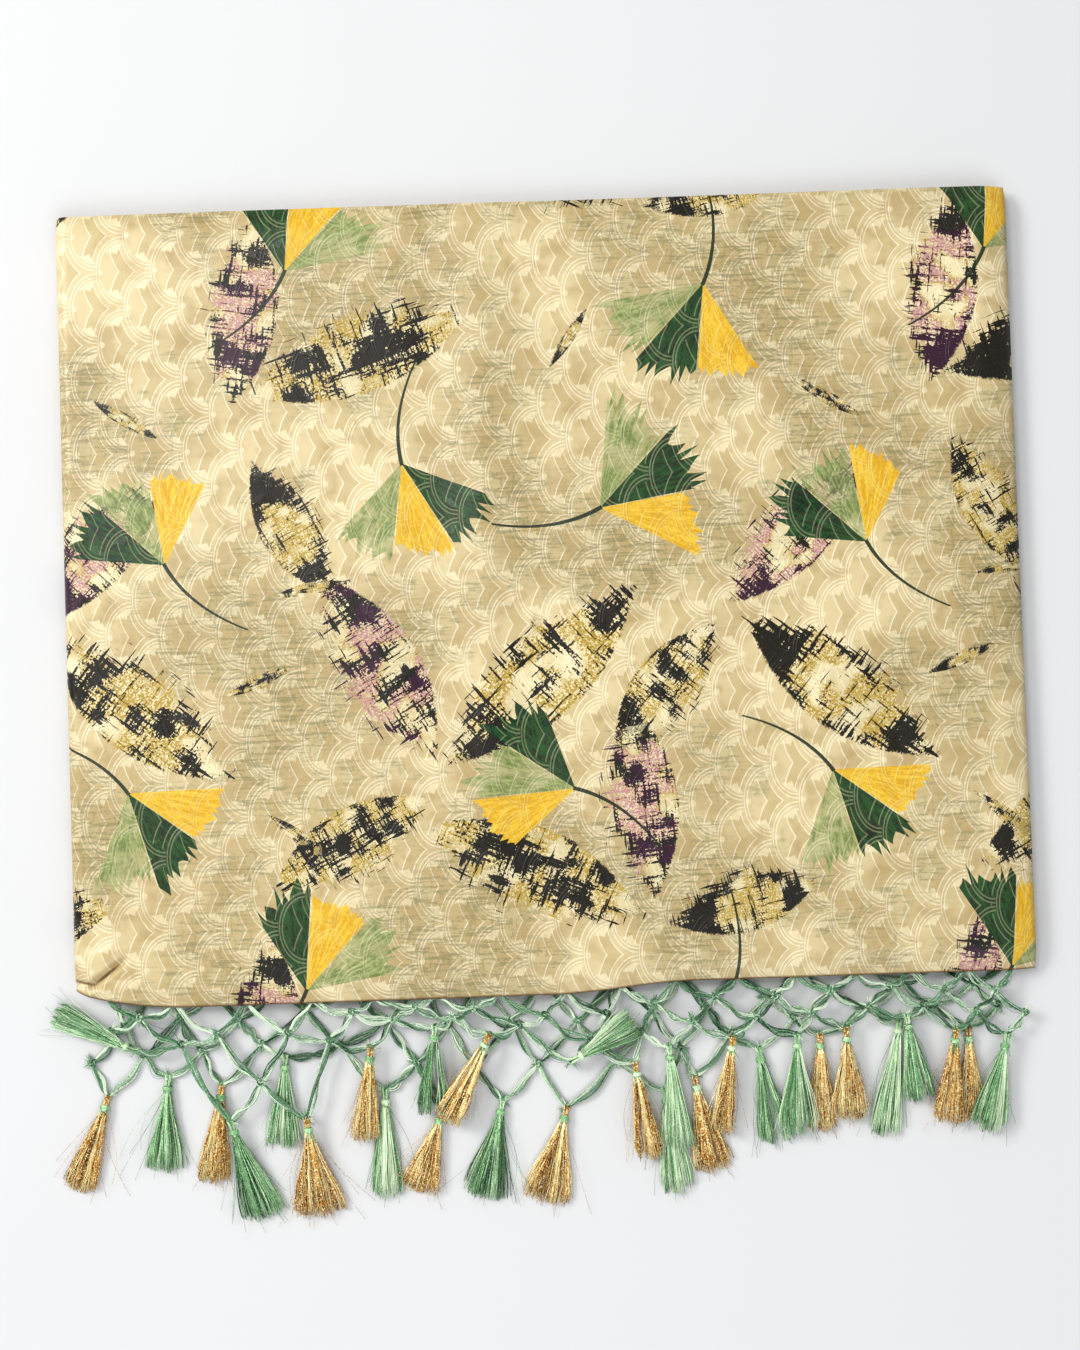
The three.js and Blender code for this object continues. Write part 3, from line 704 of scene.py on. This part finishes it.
def thread_material(name, dark, middle, light, metallic, roughness, painted_glint_strength):
    """Threads whose shade differs from one to the next, with fine streaks along them and painted glints that
    lighten their colour in specks.
    """
    shader = Shader(name, Metallic=metallic, Sheen_Weight=0.1, Specular_IOR_Level=0.5)
    place = shader.node("ShaderNodeTexCoord", output="Object")
    tone = shader.attribute("tone")
    streak = shader.noise(place, 900.0, 2.0, 0.6)
    # Painted glints: bright specks in the colour that stand in for light caught by the threads.
    painted_glints = shader.noise(place, 1050.0, 1.0, 0.5).ease(0.5, 0.62)
    shade = (tone + (streak - 0.5) * 0.55 + painted_glints * painted_glint_strength).math("ADD", 0.0, clamp=True)
    color = shader.mix(shade.ease(0.0, 0.5), dark, middle)
    color = shader.mix(shade.ease(0.5, 1.0), color, light)
    normal = shader.bump(streak, 0.0003, 0.6)
    return shader.finish(color, streak * 0.25 + roughness, normal)


# ---- the cloth's pieces ------------------

# Both cloths are grids. Their columns are stations: over the top from the right, round the fold, and back
# underneath. A station is a part, a share of the way along it, and how far right the part reaches.

def flat_x(part, share, right_x):
    """Where a station of the top or the underside lies."""
    return lerp(right_x, FLAT_LEFT_X, share) if part == "top" else lerp(FLAT_LEFT_X, right_x, share)


def panel_points(stations, ys, depths):
    """Points of the outermost panel, from its rows' depths and a function for their y at a station."""
    columns = []
    edge = np.full_like(depths, FLAT_LEFT_X)
    for part, share, right_x in stations:
        if part == "fold":
            x = FLAT_LEFT_X - (FOLD_DEPTH - depths) * math.sin(share * math.pi)
            y = ys(FLAT_LEFT_X, part, share)
            middle = creased(edge, y) / 2
            z = middle + (middle - depths) * math.cos(share * math.pi)
        else:
            x = np.full_like(depths, flat_x(part, share, right_x))
            y = ys(x[0], part, share)
            z = creased(x, y) - depths if part == "top" else depths
        columns.append(np.stack([x, y, z], axis=1))
    return np.array(columns)


def cloth_across(stations):
    """Where each station lies across the unfolded cloth: x on the top, and on past the fold."""
    fold_length = math.pi * FOLD_DEPTH
    places = []
    for part, share, right_x in stations:
        if part == "top":
            places.append(flat_x(part, share, right_x))
        elif part == "fold":
            places.append(FLAT_LEFT_X - share * fold_length)
        else:
            places.append(FLAT_LEFT_X - fold_length - share * (right_x - FLAT_LEFT_X))
    return np.array(places)


def fold_and_under(fold_steps, under_steps):
    stations = [("fold", i / fold_steps, 0) for i in range(fold_steps)]
    return stations + [("under", i / under_steps, SELVEDGE_X) for i in range(under_steps + 1)]


CLOTH_THICKNESS = 0.35


def make_cloth(name, points, faces, stations, length, tone):
    """A thin cloth from a grid of points. Length says how far along the cloth its rows are."""
    made = new_object(name, points.reshape(-1, 3), [faces])
    grid = points.shape[:2]
    across = np.repeat(cloth_across(stations), grid[1])
    add_print(made, np.stack([across, np.broadcast_to(length, grid).ravel()], axis=1))
    add_tone(made, np.broadcast_to(tone, grid).ravel())
    solidify = made.modifiers.new("thickness", "SOLIDIFY")
    solidify.thickness = CLOTH_THICKNESS * MM
    solidify.offset = -1
    return made


PALLU_DOUBLE = 1.1
# How far the darkened hem line reaches: partly the edge's own colour, partly painted shade.
HEM_SHADE_REACH = 5

# How far from the hem the returning half stops: for most of it, behind the tuck, and where it changes.
RETURN_SHORT, RETURN_SHORT_AT_TUCK, RETURN_CHANGE = 4, 42, (205, 235)

# Where the pallu's grid changes its spacing: from x, to x, and the number of columns between.
PALLU_COLUMNS = [(280, 200, 24), (200, -200, 84), (-200, -240, 16), (-240, FLAT_LEFT_X, 34)]


def make_pallu():
    """The outermost panel, which turns in at the pleats' end and comes back beneath itself."""
    stations = []
    for start, end, count in PALLU_COLUMNS:
        for x in np.linspace(start, end, count, endpoint=False):
            stations.append(("top", (HALF_WIDTH - x) / (HALF_WIDTH - FLAT_LEFT_X), HALF_WIDTH))
    stations += fold_and_under(18, 30)

    # Rows: from the pallu's end to the turn, round the turn, and back.
    fine_reach, fine_rows, middle_rows, back_rows = 32, 38, 66, 8
    front = np.linspace(0, fine_reach, fine_rows, endpoint=False)
    radius = PALLU_DOUBLE / 2
    turn = np.linspace(0, math.pi, 7)[1:-1]
    straight_end = PLEAT_END_Y - radius

    def ys(x, part, share):
        end = lower_end_y(x) if part == "under" else pallu_end_y(x)
        if part == "fold":
            fold_x = FLAT_LEFT_X - FOLD_DEPTH * math.sin(share * math.pi)
            end = lerp(pallu_end_y(fold_x), lower_end_y(x), share)
        out = np.concatenate([end + front, np.linspace(end + fine_reach, straight_end, middle_rows)])
        short = lerp(RETURN_SHORT, RETURN_SHORT_AT_TUCK, smoothstep(-x, *RETURN_CHANGE))
        back = np.linspace(straight_end, end + short, back_rows)
        return np.concatenate([out, straight_end + radius * np.sin(turn), back])

    out_rows = len(front) + middle_rows
    turn_depths = radius * (1 - np.cos(turn))
    depths = np.concatenate([np.zeros(out_rows), turn_depths, np.full(back_rows, PALLU_DOUBLE)])
    points = panel_points(stations, ys, depths)
    length = points[:, :, 1].copy()
    length[:, out_rows:] = 2 * PLEAT_END_Y - length[:, out_rows:]
    # The tone darkens the hem line, partly its own colour and partly painted shade, and holds the painted
    # shade of the tucked corner's folds.
    hem_shade = np.clip((length - length[:, :1]) / HEM_SHADE_REACH, 0, 1)
    tone = np.minimum(hem_shade, tuck_painted_shade(points[:, :, 0], points[:, :, 1]))
    return make_cloth("pallu_silk", points, grid_faces(*points.shape[:2]), stations, length, tone)


# The pleats: how many, how deep the first and the last lie, how far each may fall short of its place at the
# front, the back and the right, and the ripples of the flat parts.
PLEATS, FIRST_DEPTH, LAST_DEPTH = 10, 1.62, 7.35
FRONT_SLACK, BACK_SLACK, RIGHT_SLACK, BACK_GAP = (0.4, 3.2), (0.4, 2.6), (0.0, 2.6), 1.6
RIPPLE_HEIGHT, RIPPLE_LENGTH = 0.05, 17
PLEAT_SEED = 3


def make_layers():
    """Panels three to twelve, pleated back and forth as one strip, and folded once with the rest."""
    rng = np.random.default_rng(PLEAT_SEED)
    pitch = (LAST_DEPTH - FIRST_DEPTH) / (PLEATS - 1)
    radius = pitch / 2
    flat_steps, fold_steps = 18, 8
    stations = [("top", i / flat_steps, SELVEDGE_X) for i in range(flat_steps)]
    stations += fold_and_under(fold_steps, flat_steps)

    shares = np.concatenate([[0, 0.012, 0.03], np.linspace(0.08, 0.92, 7), [0.97, 0.988, 1]])
    front_slack = rng.uniform(*FRONT_SLACK, PLEATS + 1)
    back_slack = rng.uniform(*BACK_SLACK, PLEATS + 1)
    right_slack = rng.uniform(*RIGHT_SLACK, PLEATS)
    wave = rng.uniform(0, 6.28, PLEATS)

    rows_y, rows_depth, rows_panel = [], [], []
    arc = np.linspace(0, math.pi, 6)[1:-1]
    for k in range(PLEATS):
        depth = FIRST_DEPTH + k * pitch
        front_y = PACK_FRONT_Y + front_slack[(k + 1) // 2]
        back_y = PLEAT_END_Y - BACK_GAP - back_slack[k // 2]
        path = front_y + (back_y - front_y) * shares
        goes_back = k % 2 == 0
        rows_y.extend(path if goes_back else path[::-1])
        rows_depth.extend([depth] * len(shares))
        rows_panel.extend([k] * len(shares))
        if k < PLEATS - 1:
            end, way = (back_y, 1) if goes_back else (front_y, -1)
            rows_y.extend(end + way * radius * np.sin(arc))
            rows_depth.extend(depth + radius * (1 - np.cos(arc)))
            rows_panel.extend([k + 0.5] * len(arc))
    rows_y, rows_depth, rows_panel = map(np.array, (rows_y, rows_depth, rows_panel))

    # The pack is squeezed where the top rolls down, so depths are shares of the height there.
    def height_share(depth):
        return (depth - WALL) / (STACK_HEIGHT - 2 * WALL)

    columns = []
    row_slack = np.interp(rows_panel, np.arange(PLEATS), right_slack)
    row_wave = np.interp(rows_panel, np.arange(PLEATS), wave)
    for part, share, right_x in stations:
        if part == "fold":
            x = FLAT_LEFT_X - (FOLD_DEPTH - rows_depth) * math.sin(share * math.pi)
            under_x = np.full_like(rows_y, FLAT_LEFT_X)
        else:
            x = flat_x(part, share, right_x - row_slack)
            under_x = x
        height = creased(under_x, rows_y) - room_for_tuck(under_x, rows_y)
        low = lerp(WALL, height - WALL, height_share(rows_depth))
        high = lerp(WALL, height - WALL, 1 - height_share(rows_depth))
        ripple = RIPPLE_HEIGHT * np.sin(x / RIPPLE_LENGTH + row_wave)
        if part == "fold":
            z = (low + high) / 2 + (high - low) / 2 * math.cos(share * math.pi)
        else:
            z = (high if part == "top" else low) + ripple
        columns.append(np.stack([x, rows_y, z], axis=1))
    points = np.array(columns)
    length = np.concatenate([[0], np.cumsum(np.hypot(np.diff(rows_y), np.diff(rows_depth)))])
    faces = grid_faces(*points.shape[:2])[:, ::-1]
    return make_cloth("pleated_silk", points, faces, stations, length, 1.0)


# ---- the fringe --------------------------

def hem_point(half, x):
    """The middle of a hem's section: the upper one lies beneath the pallu's end, the lower one before it."""
    if half == "upper":
        end = pallu_end_y(x)
        y = end + SEAM_GAP + CORD_WIDTH / 2
        return np.array([x, y, top_z(x, end) - WALL - SEAM_GAP - HEM_THICKNESS / 2])
    return np.array([x, lower_end_y(x) - SEAM_GAP - CORD_WIDTH / 2, SEAM_GAP + HEM_THICKNESS / 2])


def lie_of(tassel):
    """The way a tassel points, on the flat."""
    lie = tassel["tip"] - tassel["head"]
    lie[2] = 0
    return lie / np.linalg.norm(lie)


def tie_of(tassel):
    """Where the net is tied to a tassel."""
    tie = tassel["head"] - lie_of(tassel) * TIE_BEHIND
    tie[2] = NET_Z[tassel["half"]]
    return tie


def knots_of(half):
    """Stitches, two rows of knots, and ties, close to where the CAD model has them."""
    ties = [tie_of(tassel) for tassel in TASSELS if tassel["half"] == half]
    count = len(ties)
    drops = [hem_point(half, tie[0])[1] - tie[1] for tie in ties]

    def neighbours(values, i):
        return values[max(i - 1, 0)], values[min(i, count - 1)]

    def pulled_x(i):
        before, after = neighbours(ties, i)
        return (before[0] + after[0]) / 2 + 14 * ((i == count) - (i == 0))

    sewn = []
    for i in range(count + 1):
        even = lerp(HEM_FROM_X + FIRST_STITCH, HEM_TO_X - FIRST_STITCH, i / count)
        sewn.append(hem_point(half, even if i % count == 0 else lerp(even, pulled_x(i), 0.5)))
    second_drops, second = [], []
    for i in range(count + 1):
        pair = neighbours(drops, i)
        second_drops.append(min(0.68 * sum(pair) / 2, min(pair) - 5))
        x = lerp(sewn[i][0], pulled_x(i), 0.67)
        second.append(np.array([x, hem_point(half, x)[1] - second_drops[i], NET_Z[half]]))
    first = []
    for i in range(count):
        x = lerp((sewn[i][0] + sewn[i + 1][0]) / 2, ties[i][0], 0.33)
        drop = min(0.34 * drops[i], min(second_drops[i], second_drops[i + 1]) - 5)
        hem = hem_point(half, x)
        first.append(np.array([x, hem[1] - drop, (hem[2] + NET_Z[half]) / 2]))
    return sewn, first, second, ties


def cord_threads(strands, rng, start, end, width):
    """A slack cord of two flat plies of loose threads, which part and cross between its knots."""
    places, plies, threads, hairs = 13, 2, 7, 3
    t = np.linspace(0, 1, places)
    middle = (start + end) / 2
    middle[1] -= CORD_SAG * abs(end[0] - start[0])
    control = 2 * middle - (start + end) / 2
    path = np.outer((1 - t) ** 2, start) + np.outer(2 * t * (1 - t), control) + np.outer(t**2, end)
    along = np.gradient(path, axis=0)
    along /= np.linalg.norm(along, axis=1, keepdims=True)
    side, rise = across_and_up(along)
    slack = np.sin(math.pi * t)
    path += side * (slack * np.sin(2 * math.pi * t + rng.uniform(0, 6)) * rng.uniform(0.4, 1.3))[:, None]
    crossings = rng.uniform(0.8, 2.2)
    phase = rng.uniform(0, math.pi)
    parting = rng.uniform(0.28, 0.6) * width
    for ply in range(plies):
        turn = math.pi * (crossings * t + ply) + phase
        centre = path + side * (np.cos(turn) * parting * (0.35 + 0.65 * slack))[:, None]
        centre += rise * (np.sin(turn) * 0.5 * (0.4 + 0.6 * slack))[:, None]
        ply_tone = rng.uniform(0.1, 1.0)
        flat = rng.uniform(0.6, 1.15) * (0.5 + 0.5 * slack)
        twist = rng.uniform(-2.5, 2.5)
        for thread in range(threads):
            angle = thread * 2 * math.pi / threads + twist * t + rng.uniform(-0.3, 0.3)
            spread = flat * rng.uniform(0.75, 1.25)
            thread_path = centre + side * (np.cos(angle) * spread)[:, None]
            thread_path += rise * (np.sin(angle) * spread * 0.55)[:, None]
            # Besides each ply's own tone, threads on top of a ply are painted a little lighter and those
            # beneath a little darker: painted light and shade.
            tone = np.clip(ply_tone + 0.16 * rng.standard_normal() + 0.1 * np.sin(angle), 0, 1)
            strands.add([thread_path], rng.uniform(0.24, 0.34), [tone])
    for _ in range(hairs):
        loose = rng.normal(0, 1.6) * slack + rng.normal(0, 0.8) * np.sin(2 * math.pi * t)
        lift = rng.uniform(0, 1.2) * slack
        strands.add([path + side * loose[:, None] + rise * lift[:, None]], 0.1, [[rng.random()]])


def coil(strands, rng, centre, axis, radius, height, turns, thread, tone, flat=0.85):
    """Thread wound round an axis."""
    side, rise = across_and_up(axis)
    t = np.linspace(0, 1, int(turns * 11) + 1)
    turn = 2 * math.pi * turns * t + rng.uniform(0, 6)
    swell = 1 + 0.12 * np.sin(math.pi * t)
    path = centre + np.outer((t - 0.5) * height, axis)
    path += np.outer(np.cos(turn) * radius * swell, side)
    path += np.outer(np.sin(turn) * radius * flat * swell, rise)
    strands.add([path], thread, [[tone]], sides=5)


def net_knot(strands, rng, centre, size):
    """Two bundles tied round each other: a flattened trefoil of threads, with cut ends that stand out."""
    t = np.linspace(0, 2 * math.pi, 30)
    turn = rng.uniform(0, 2 * math.pi)
    threads, tufts, ends = 5, 2, 10
    for thread in range(threads):
        shift = thread * 2 * math.pi / threads
        radius = size * (0.62 + 0.3 * np.cos(3 * t))
        x = radius * np.cos(2 * t + turn) + 0.36 * math.cos(shift)
        y = radius * np.sin(2 * t + turn) + 0.36 * math.sin(shift)
        z = 0.42 * size * np.sin(3 * t) + 0.3 * math.sin(shift + 1)
        strands.add([np.stack([x, y, z], axis=1) + centre], 0.34, [[rng.random() * 0.8]])
    for _ in range(tufts):
        way = rng.uniform(0, 2 * math.pi)
        tone = rng.uniform(0.3, 0.9)
        for _ in range(ends):
            heading = way + rng.normal(0, 0.3)
            step = np.array([math.cos(heading), math.sin(heading), rng.uniform(-0.1, 0.25)])
            s = np.linspace(0, 1, 4)[:, None]
            bow = np.array([0, 0, -0.5]) * s**2
            length = rng.uniform(2.8, 6.2)
            shade = np.clip(tone + rng.normal(0, 0.15), 0, 1)
            strands.add([centre + step * (length * s) + bow], [0.25, 0.26, 0.24, 0.14], [[shade]])


NET_SEEDS = {"upper": 11, "lower": 12}


def make_net(half):
    """Six cords for each tassel, with the knots between them and the stitches in the hem."""
    rng = np.random.default_rng(NET_SEEDS[half])
    strands = Strands()
    sewn, first, second, ties = knots_of(half)
    for i, tie in enumerate(ties):
        pairs = [(sewn[i], first[i]), (sewn[i + 1], first[i]), (first[i], second[i])]
        pairs += [(first[i], second[i + 1]), (second[i], tie), (second[i + 1], tie)]
        for start, end in pairs:
            cord_threads(strands, rng, start, end, CORD_WIDTH * rng.uniform(0.85, 1.15))
    for centre in first + second:
        net_knot(strands, rng, centre, rng.uniform(2.1, 2.8))
    for centre in ties:
        net_knot(strands, rng, centre, 1.9)
    for stitch in sewn:
        coil(strands, rng, stitch, (1, 0, 0), 1.15, 2.6, 4, 0.34, rng.random() * 0.6, flat=0.8)
    return strands.make(f"net_{half}")


def make_hem(half):
    """The narrow rolled hem, a flattened tube that is a little fuller at the back."""
    columns, rounds, inset = 140, 12, 0.1
    t = np.linspace(0, 2 * math.pi, rounds + 1)[:-1]
    across = np.cos(t) * (CORD_WIDTH / 2 - inset)
    up = np.sin(t) * (HEM_THICKNESS / 2 - inset) * (1 - 0.25 * np.cos(t))
    section = np.stack([np.zeros(rounds), across, up], axis=1)
    places = np.linspace(HEM_FROM_X, HEM_TO_X, columns)
    points = np.concatenate([hem_point(half, x) + section for x in places])
    column, row = np.meshgrid(np.arange(columns - 1), np.arange(rounds), indexing="ij")
    corner = (column * rounds + row).ravel()
    after = (column * rounds + (row + 1) % rounds).ravel()
    quads = np.stack([corner, corner + rounds, after + rounds, after], axis=1)
    last = (columns - 1) * rounds
    caps = np.array([np.arange(rounds), last + np.arange(rounds)[::-1]])
    made = new_object(f"hem_{half}", points, [quads, caps])
    add_uv(made, "cloth", by_corner(made, points[:, :2]) * MM)
    return made


# ---- tassels -----------------------------

# For each silk: threads, locks, places along a thread, its crimp's size and turns, and its change of shade
# along a thread, which on gold stands in partly for painted glints.
SILKS = {"gold": (230, 15, 10, 0.42, 17, 0.22), "green": (220, 13, 9, 0.25, 8, 0.08)}
STRAY_HAIRS = 18
TASSEL_SEED = 100


def tassel_threads(body, rng, tassel, lie, side):
    """The tassel's skirt: threads in locks, narrow at the binding and spread at the cut ends."""
    head, tip = tassel["head"], tassel["tip"]
    length = math.hypot(*(tip - head)[:2])
    threads, locks, places, crimp, turns, shade_change_and_glints = SILKS[tassel["silk"]]
    t = np.linspace(0, 1, places)

    # Each lock has its own place across and through the bundle, and its own shade.
    lock = rng.integers(0, locks, threads)
    lock_place = rng.uniform(-1, 1, locks)
    lock_level = rng.uniform(-1, 1, locks) * np.sqrt(1 - lock_place**2)
    lock_tone = np.clip(rng.normal(0.5, 0.27, locks), 0, 1)
    lock_reach = rng.uniform(0.93, 1.02, locks)
    place = np.clip(lock_place[lock] + rng.normal(0, 0.13, threads), -1, 1)
    level = np.clip(lock_level[lock] + rng.normal(0, 0.25, threads), -1, 1)

    neck, belly = 1.5, 2.9
    opening = smoothstep(t, 0.0, 0.16) * (belly - neck) + neck
    fan = opening + (tassel["fan"] / 2 - belly) * smoothstep(t, 0.08, 1.05) ** 0.85
    thick = lerp(neck, 2.5, smoothstep(t, 0.0, 0.25)) * (1 - 0.3 * t)
    reach = lock_reach[lock] * rng.uniform(0.94, 1.02, threads) - 0.05 * place**2
    wave = rng.uniform(0, 2 * math.pi, (threads, 2))
    astray = np.where(rng.random(threads) < 0.12, rng.normal(0, 2.8, threads), rng.normal(0, 0.4, threads))
    sway = crimp * np.sin(t * turns + wave[:, :1]) * t**0.5
    across = place[:, None] * fan + sway + astray[:, None] * t**2.2
    height = lerp(head[2], tip[2], t) + level[:, None] * thick + 0.3 * np.sin(t * 7 + wave[:, 1:]) * t
    height = np.maximum(height, 0.35 + 0.5 * rng.random((threads, 1)))
    flat = head[:2] + (t * reach[:, None] * length)[..., None] * lie[:2] + across[..., None] * side[:2]
    # Besides each lock's own shade, threads higher in the bundle are painted a little lighter and lower ones
    # darker: painted light and shade.
    tones = (lock_tone[lock] + rng.normal(0, 0.22, threads) + 0.1 * level)[:, None]
    tones = np.clip(tones + rng.normal(0, shade_change_and_glints, (threads, places)), 0, 1)
    body.add(np.concatenate([flat, height[..., None]], axis=2), np.linspace(0.28, 0.19, places), tones)

    for _ in range(STRAY_HAIRS):
        s = np.linspace(0, 1, 9)
        aside = rng.normal(0, 0.5) * tassel["fan"] * s**1.3 + rng.normal(0, 3) * np.sin(math.pi * s)
        low = min(tip[2], 2.0)
        z = lerp(head[2], low, s) + rng.uniform(0, 2.5) * np.sin(math.pi * s)
        path = head[:2] + np.outer(s * length * rng.uniform(0.75, 1.14), lie[:2]) + np.outer(aside, side[:2])
        body.add([np.column_stack([path, z])], 0.1, [[rng.uniform(0, 0.5)]])


def tassel_loop(body, rng, tassel, lie, side):
    """The bundle's two loops, which come out of the binding, go over the net's tie and back beneath it."""
    head, tie = tassel["head"], tie_of(tassel)
    angle = np.linspace(0, math.pi, 11)
    far = np.sin(angle) ** 0.75
    for lobe in (-1, 1):
        for _ in range(17):
            lane = lobe * rng.uniform(0.35, 1.6)
            overshoot = rng.uniform(0.5, 1.7)
            back = head + lie * 1.5 + np.outer(far, tie - head - lie * (1.5 + overshoot))
            aside = lane * (0.65 + 0.75 * np.sin(angle) ** 2)
            rise = np.cos(angle) * rng.uniform(0.7, 1.7)
            path = back + np.outer(aside, side) + np.outer(rise, (0, 0, 1))
            base = rng.uniform(0.35, 0.9)
            tones = base * (1 - 0.75 * far) if tassel["silk"] == "gold" else [base]
            body.add([path], 0.3, [tones])


def make_tassel(tassel):
    rng = np.random.default_rng(TASSEL_SEED + int(tassel["id"]))
    head, lie = tassel["head"], lie_of(tassel)
    side = np.array([-lie[1], lie[0], 0])
    body = Strands()
    tassel_threads(body, rng, tassel, lie, side)
    tassel_loop(body, rng, tassel, lie, side)

    binding = Strands()
    coil(binding, rng, head + lie * 0.4, lie, 2.0, 3.6, 6, 0.36, rng.uniform(0.2, 0.7))
    coil(binding, rng, head + lie * 0.1, lie, 2.45, 2.2, 3.5, 0.36, rng.uniform(0.3, 0.9))
    for _ in range(9):
        s = np.linspace(0, 1, 5)
        aside = rng.uniform(-2, 2) + rng.normal(0, 2) * s
        z = head[2] + 2.0 - 1.2 * s**2
        path = head[:2] + np.outer(0.8 + s * rng.uniform(3, 8), lie[:2]) + np.outer(aside, side[:2])
        binding.add([np.column_stack([path, z])], 0.2, [[rng.random()]])
    return body.make(f"tassel_{tassel['id']}_threads"), binding.make(f"tassel_{tassel['id']}_binding")


# ---- put together ------------------------

def dress(made, material, node):
    made.data.materials.append(material)
    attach(made, "root")
    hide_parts(node)
    return made


printed_silk = silk_print("printed_silk")
plain_silk = silk_print("hem_silk", printed=False)
net_silk = thread_material("net_silk", "#12301f", "#71a279", "#e6f4dc", 0.0, 0.25, 0.2)
green_silk = thread_material("green_silk", "#143c26", "#88be82", "#e6f6d6", 0.0, 0.25, 0.25)
gold_silk = thread_material("gold_silk", "#4e2a06", "#dfa035", "#fff3bd", 0.3, 0.2, 0.8)

pallu = dress(make_pallu(), printed_silk, "pallu_panel")
layers = dress(make_layers(), printed_silk, "folded_layers")
for half_name in ("upper", "lower"):
    node_name = f"fringe_{half_name}"
    dress(make_net(half_name), net_silk, node_name)
    dress(make_hem(half_name), plain_silk, node_name)
for tassel_row in TASSELS:
    silk, slot_name = (gold_silk, "gold_silk") if tassel_row["silk"] == "gold" else (green_silk, "green_silk")
    node_name = f"tassel_{tassel_row['id']}"
    threads_piece, binding_piece = make_tassel(tassel_row)
    dress(threads_piece, silk, node_name)
    dress(binding_piece, green_silk, node_name)

# ---- floor, light and camera -------------

FLOOR_SIZE = 3000
FLOOR_COLOR = "#d1d1d1"

LIGHT_COLUMNS = ("name", "place", "aim", "size", "power", "color")
LIGHTS = [
    ("window", (-2.3, 1.05, 2.1), (0, -0.05, 0), 1.3, 59, (1.0, 0.99, 0.97)),
    ("sky", (-0.7, 0.55, 2.2), (0, -0.05, 0), 0.8, 11, (1.0, 0.99, 0.98)),
    ("fill", (0.3, -1.5, 1.8), (0, -0.2, 0), 1.6, 12, (0.97, 0.98, 1.0)),
]
WORLD_COLOR, WORLD_STRENGTH = (0.95, 0.97, 1.0, 1.0), 0.54


def make_floor():
    corners = np.array([(-1, -1, 0), (1, -1, 0), (1, 1, 0), (-1, 1, 0)]) * FLOOR_SIZE
    floor = new_object("floor", corners, [np.array([[0, 1, 2, 3]])])
    shader = Shader("pale_floor", Roughness=0.9, Base_Color=srgb(FLOOR_COLOR))
    floor.data.materials.append(shader.material)


def make_light(name, place, aim, size, power, color):
    light = bpy.data.lights.new(name, "AREA")
    light.shape, light.size, light.energy, light.color = "DISK", size, power, color
    made = bpy.data.objects.new(name, light)
    made.location = place
    made.rotation_euler = (Vector(aim) - Vector(place)).to_track_quat("-Z", "Y").to_euler()
    bpy.context.scene.collection.objects.link(made)


def make_camera():
    """The photograph's view: from straight above, tilted and turned by about two degrees."""
    target = Vector((-0.0033, -0.0511, 0.008))
    distance, tilt, roll = 1.25, math.radians(2.0), math.radians(-1.95)
    view_height = 0.791
    camera = bpy.data.cameras.new("camera")
    camera.sensor_width = 36
    camera.lens = camera.sensor_width * distance / view_height
    made = bpy.data.objects.new("camera", camera)
    made.rotation_euler = Euler((tilt, 0, roll), "XYZ")
    made.location = target - made.rotation_euler.to_matrix() @ Vector((0, 0, -distance))
    bpy.context.scene.collection.objects.link(made)
    bpy.context.scene.camera = made


make_floor()
for light_row in LIGHTS:
    make_light(**dict(zip(LIGHT_COLUMNS, light_row)))
make_camera()

world = bpy.data.worlds.new("world")
world.use_nodes = True
background = world.node_tree.nodes["Background"]
background.inputs["Color"].default_value = WORLD_COLOR
background.inputs["Strength"].default_value = WORLD_STRENGTH
bpy.context.scene.world = world
bpy.context.scene.view_settings.view_transform = "Standard"
bpy.context.scene.view_settings.look = "Medium High Contrast"
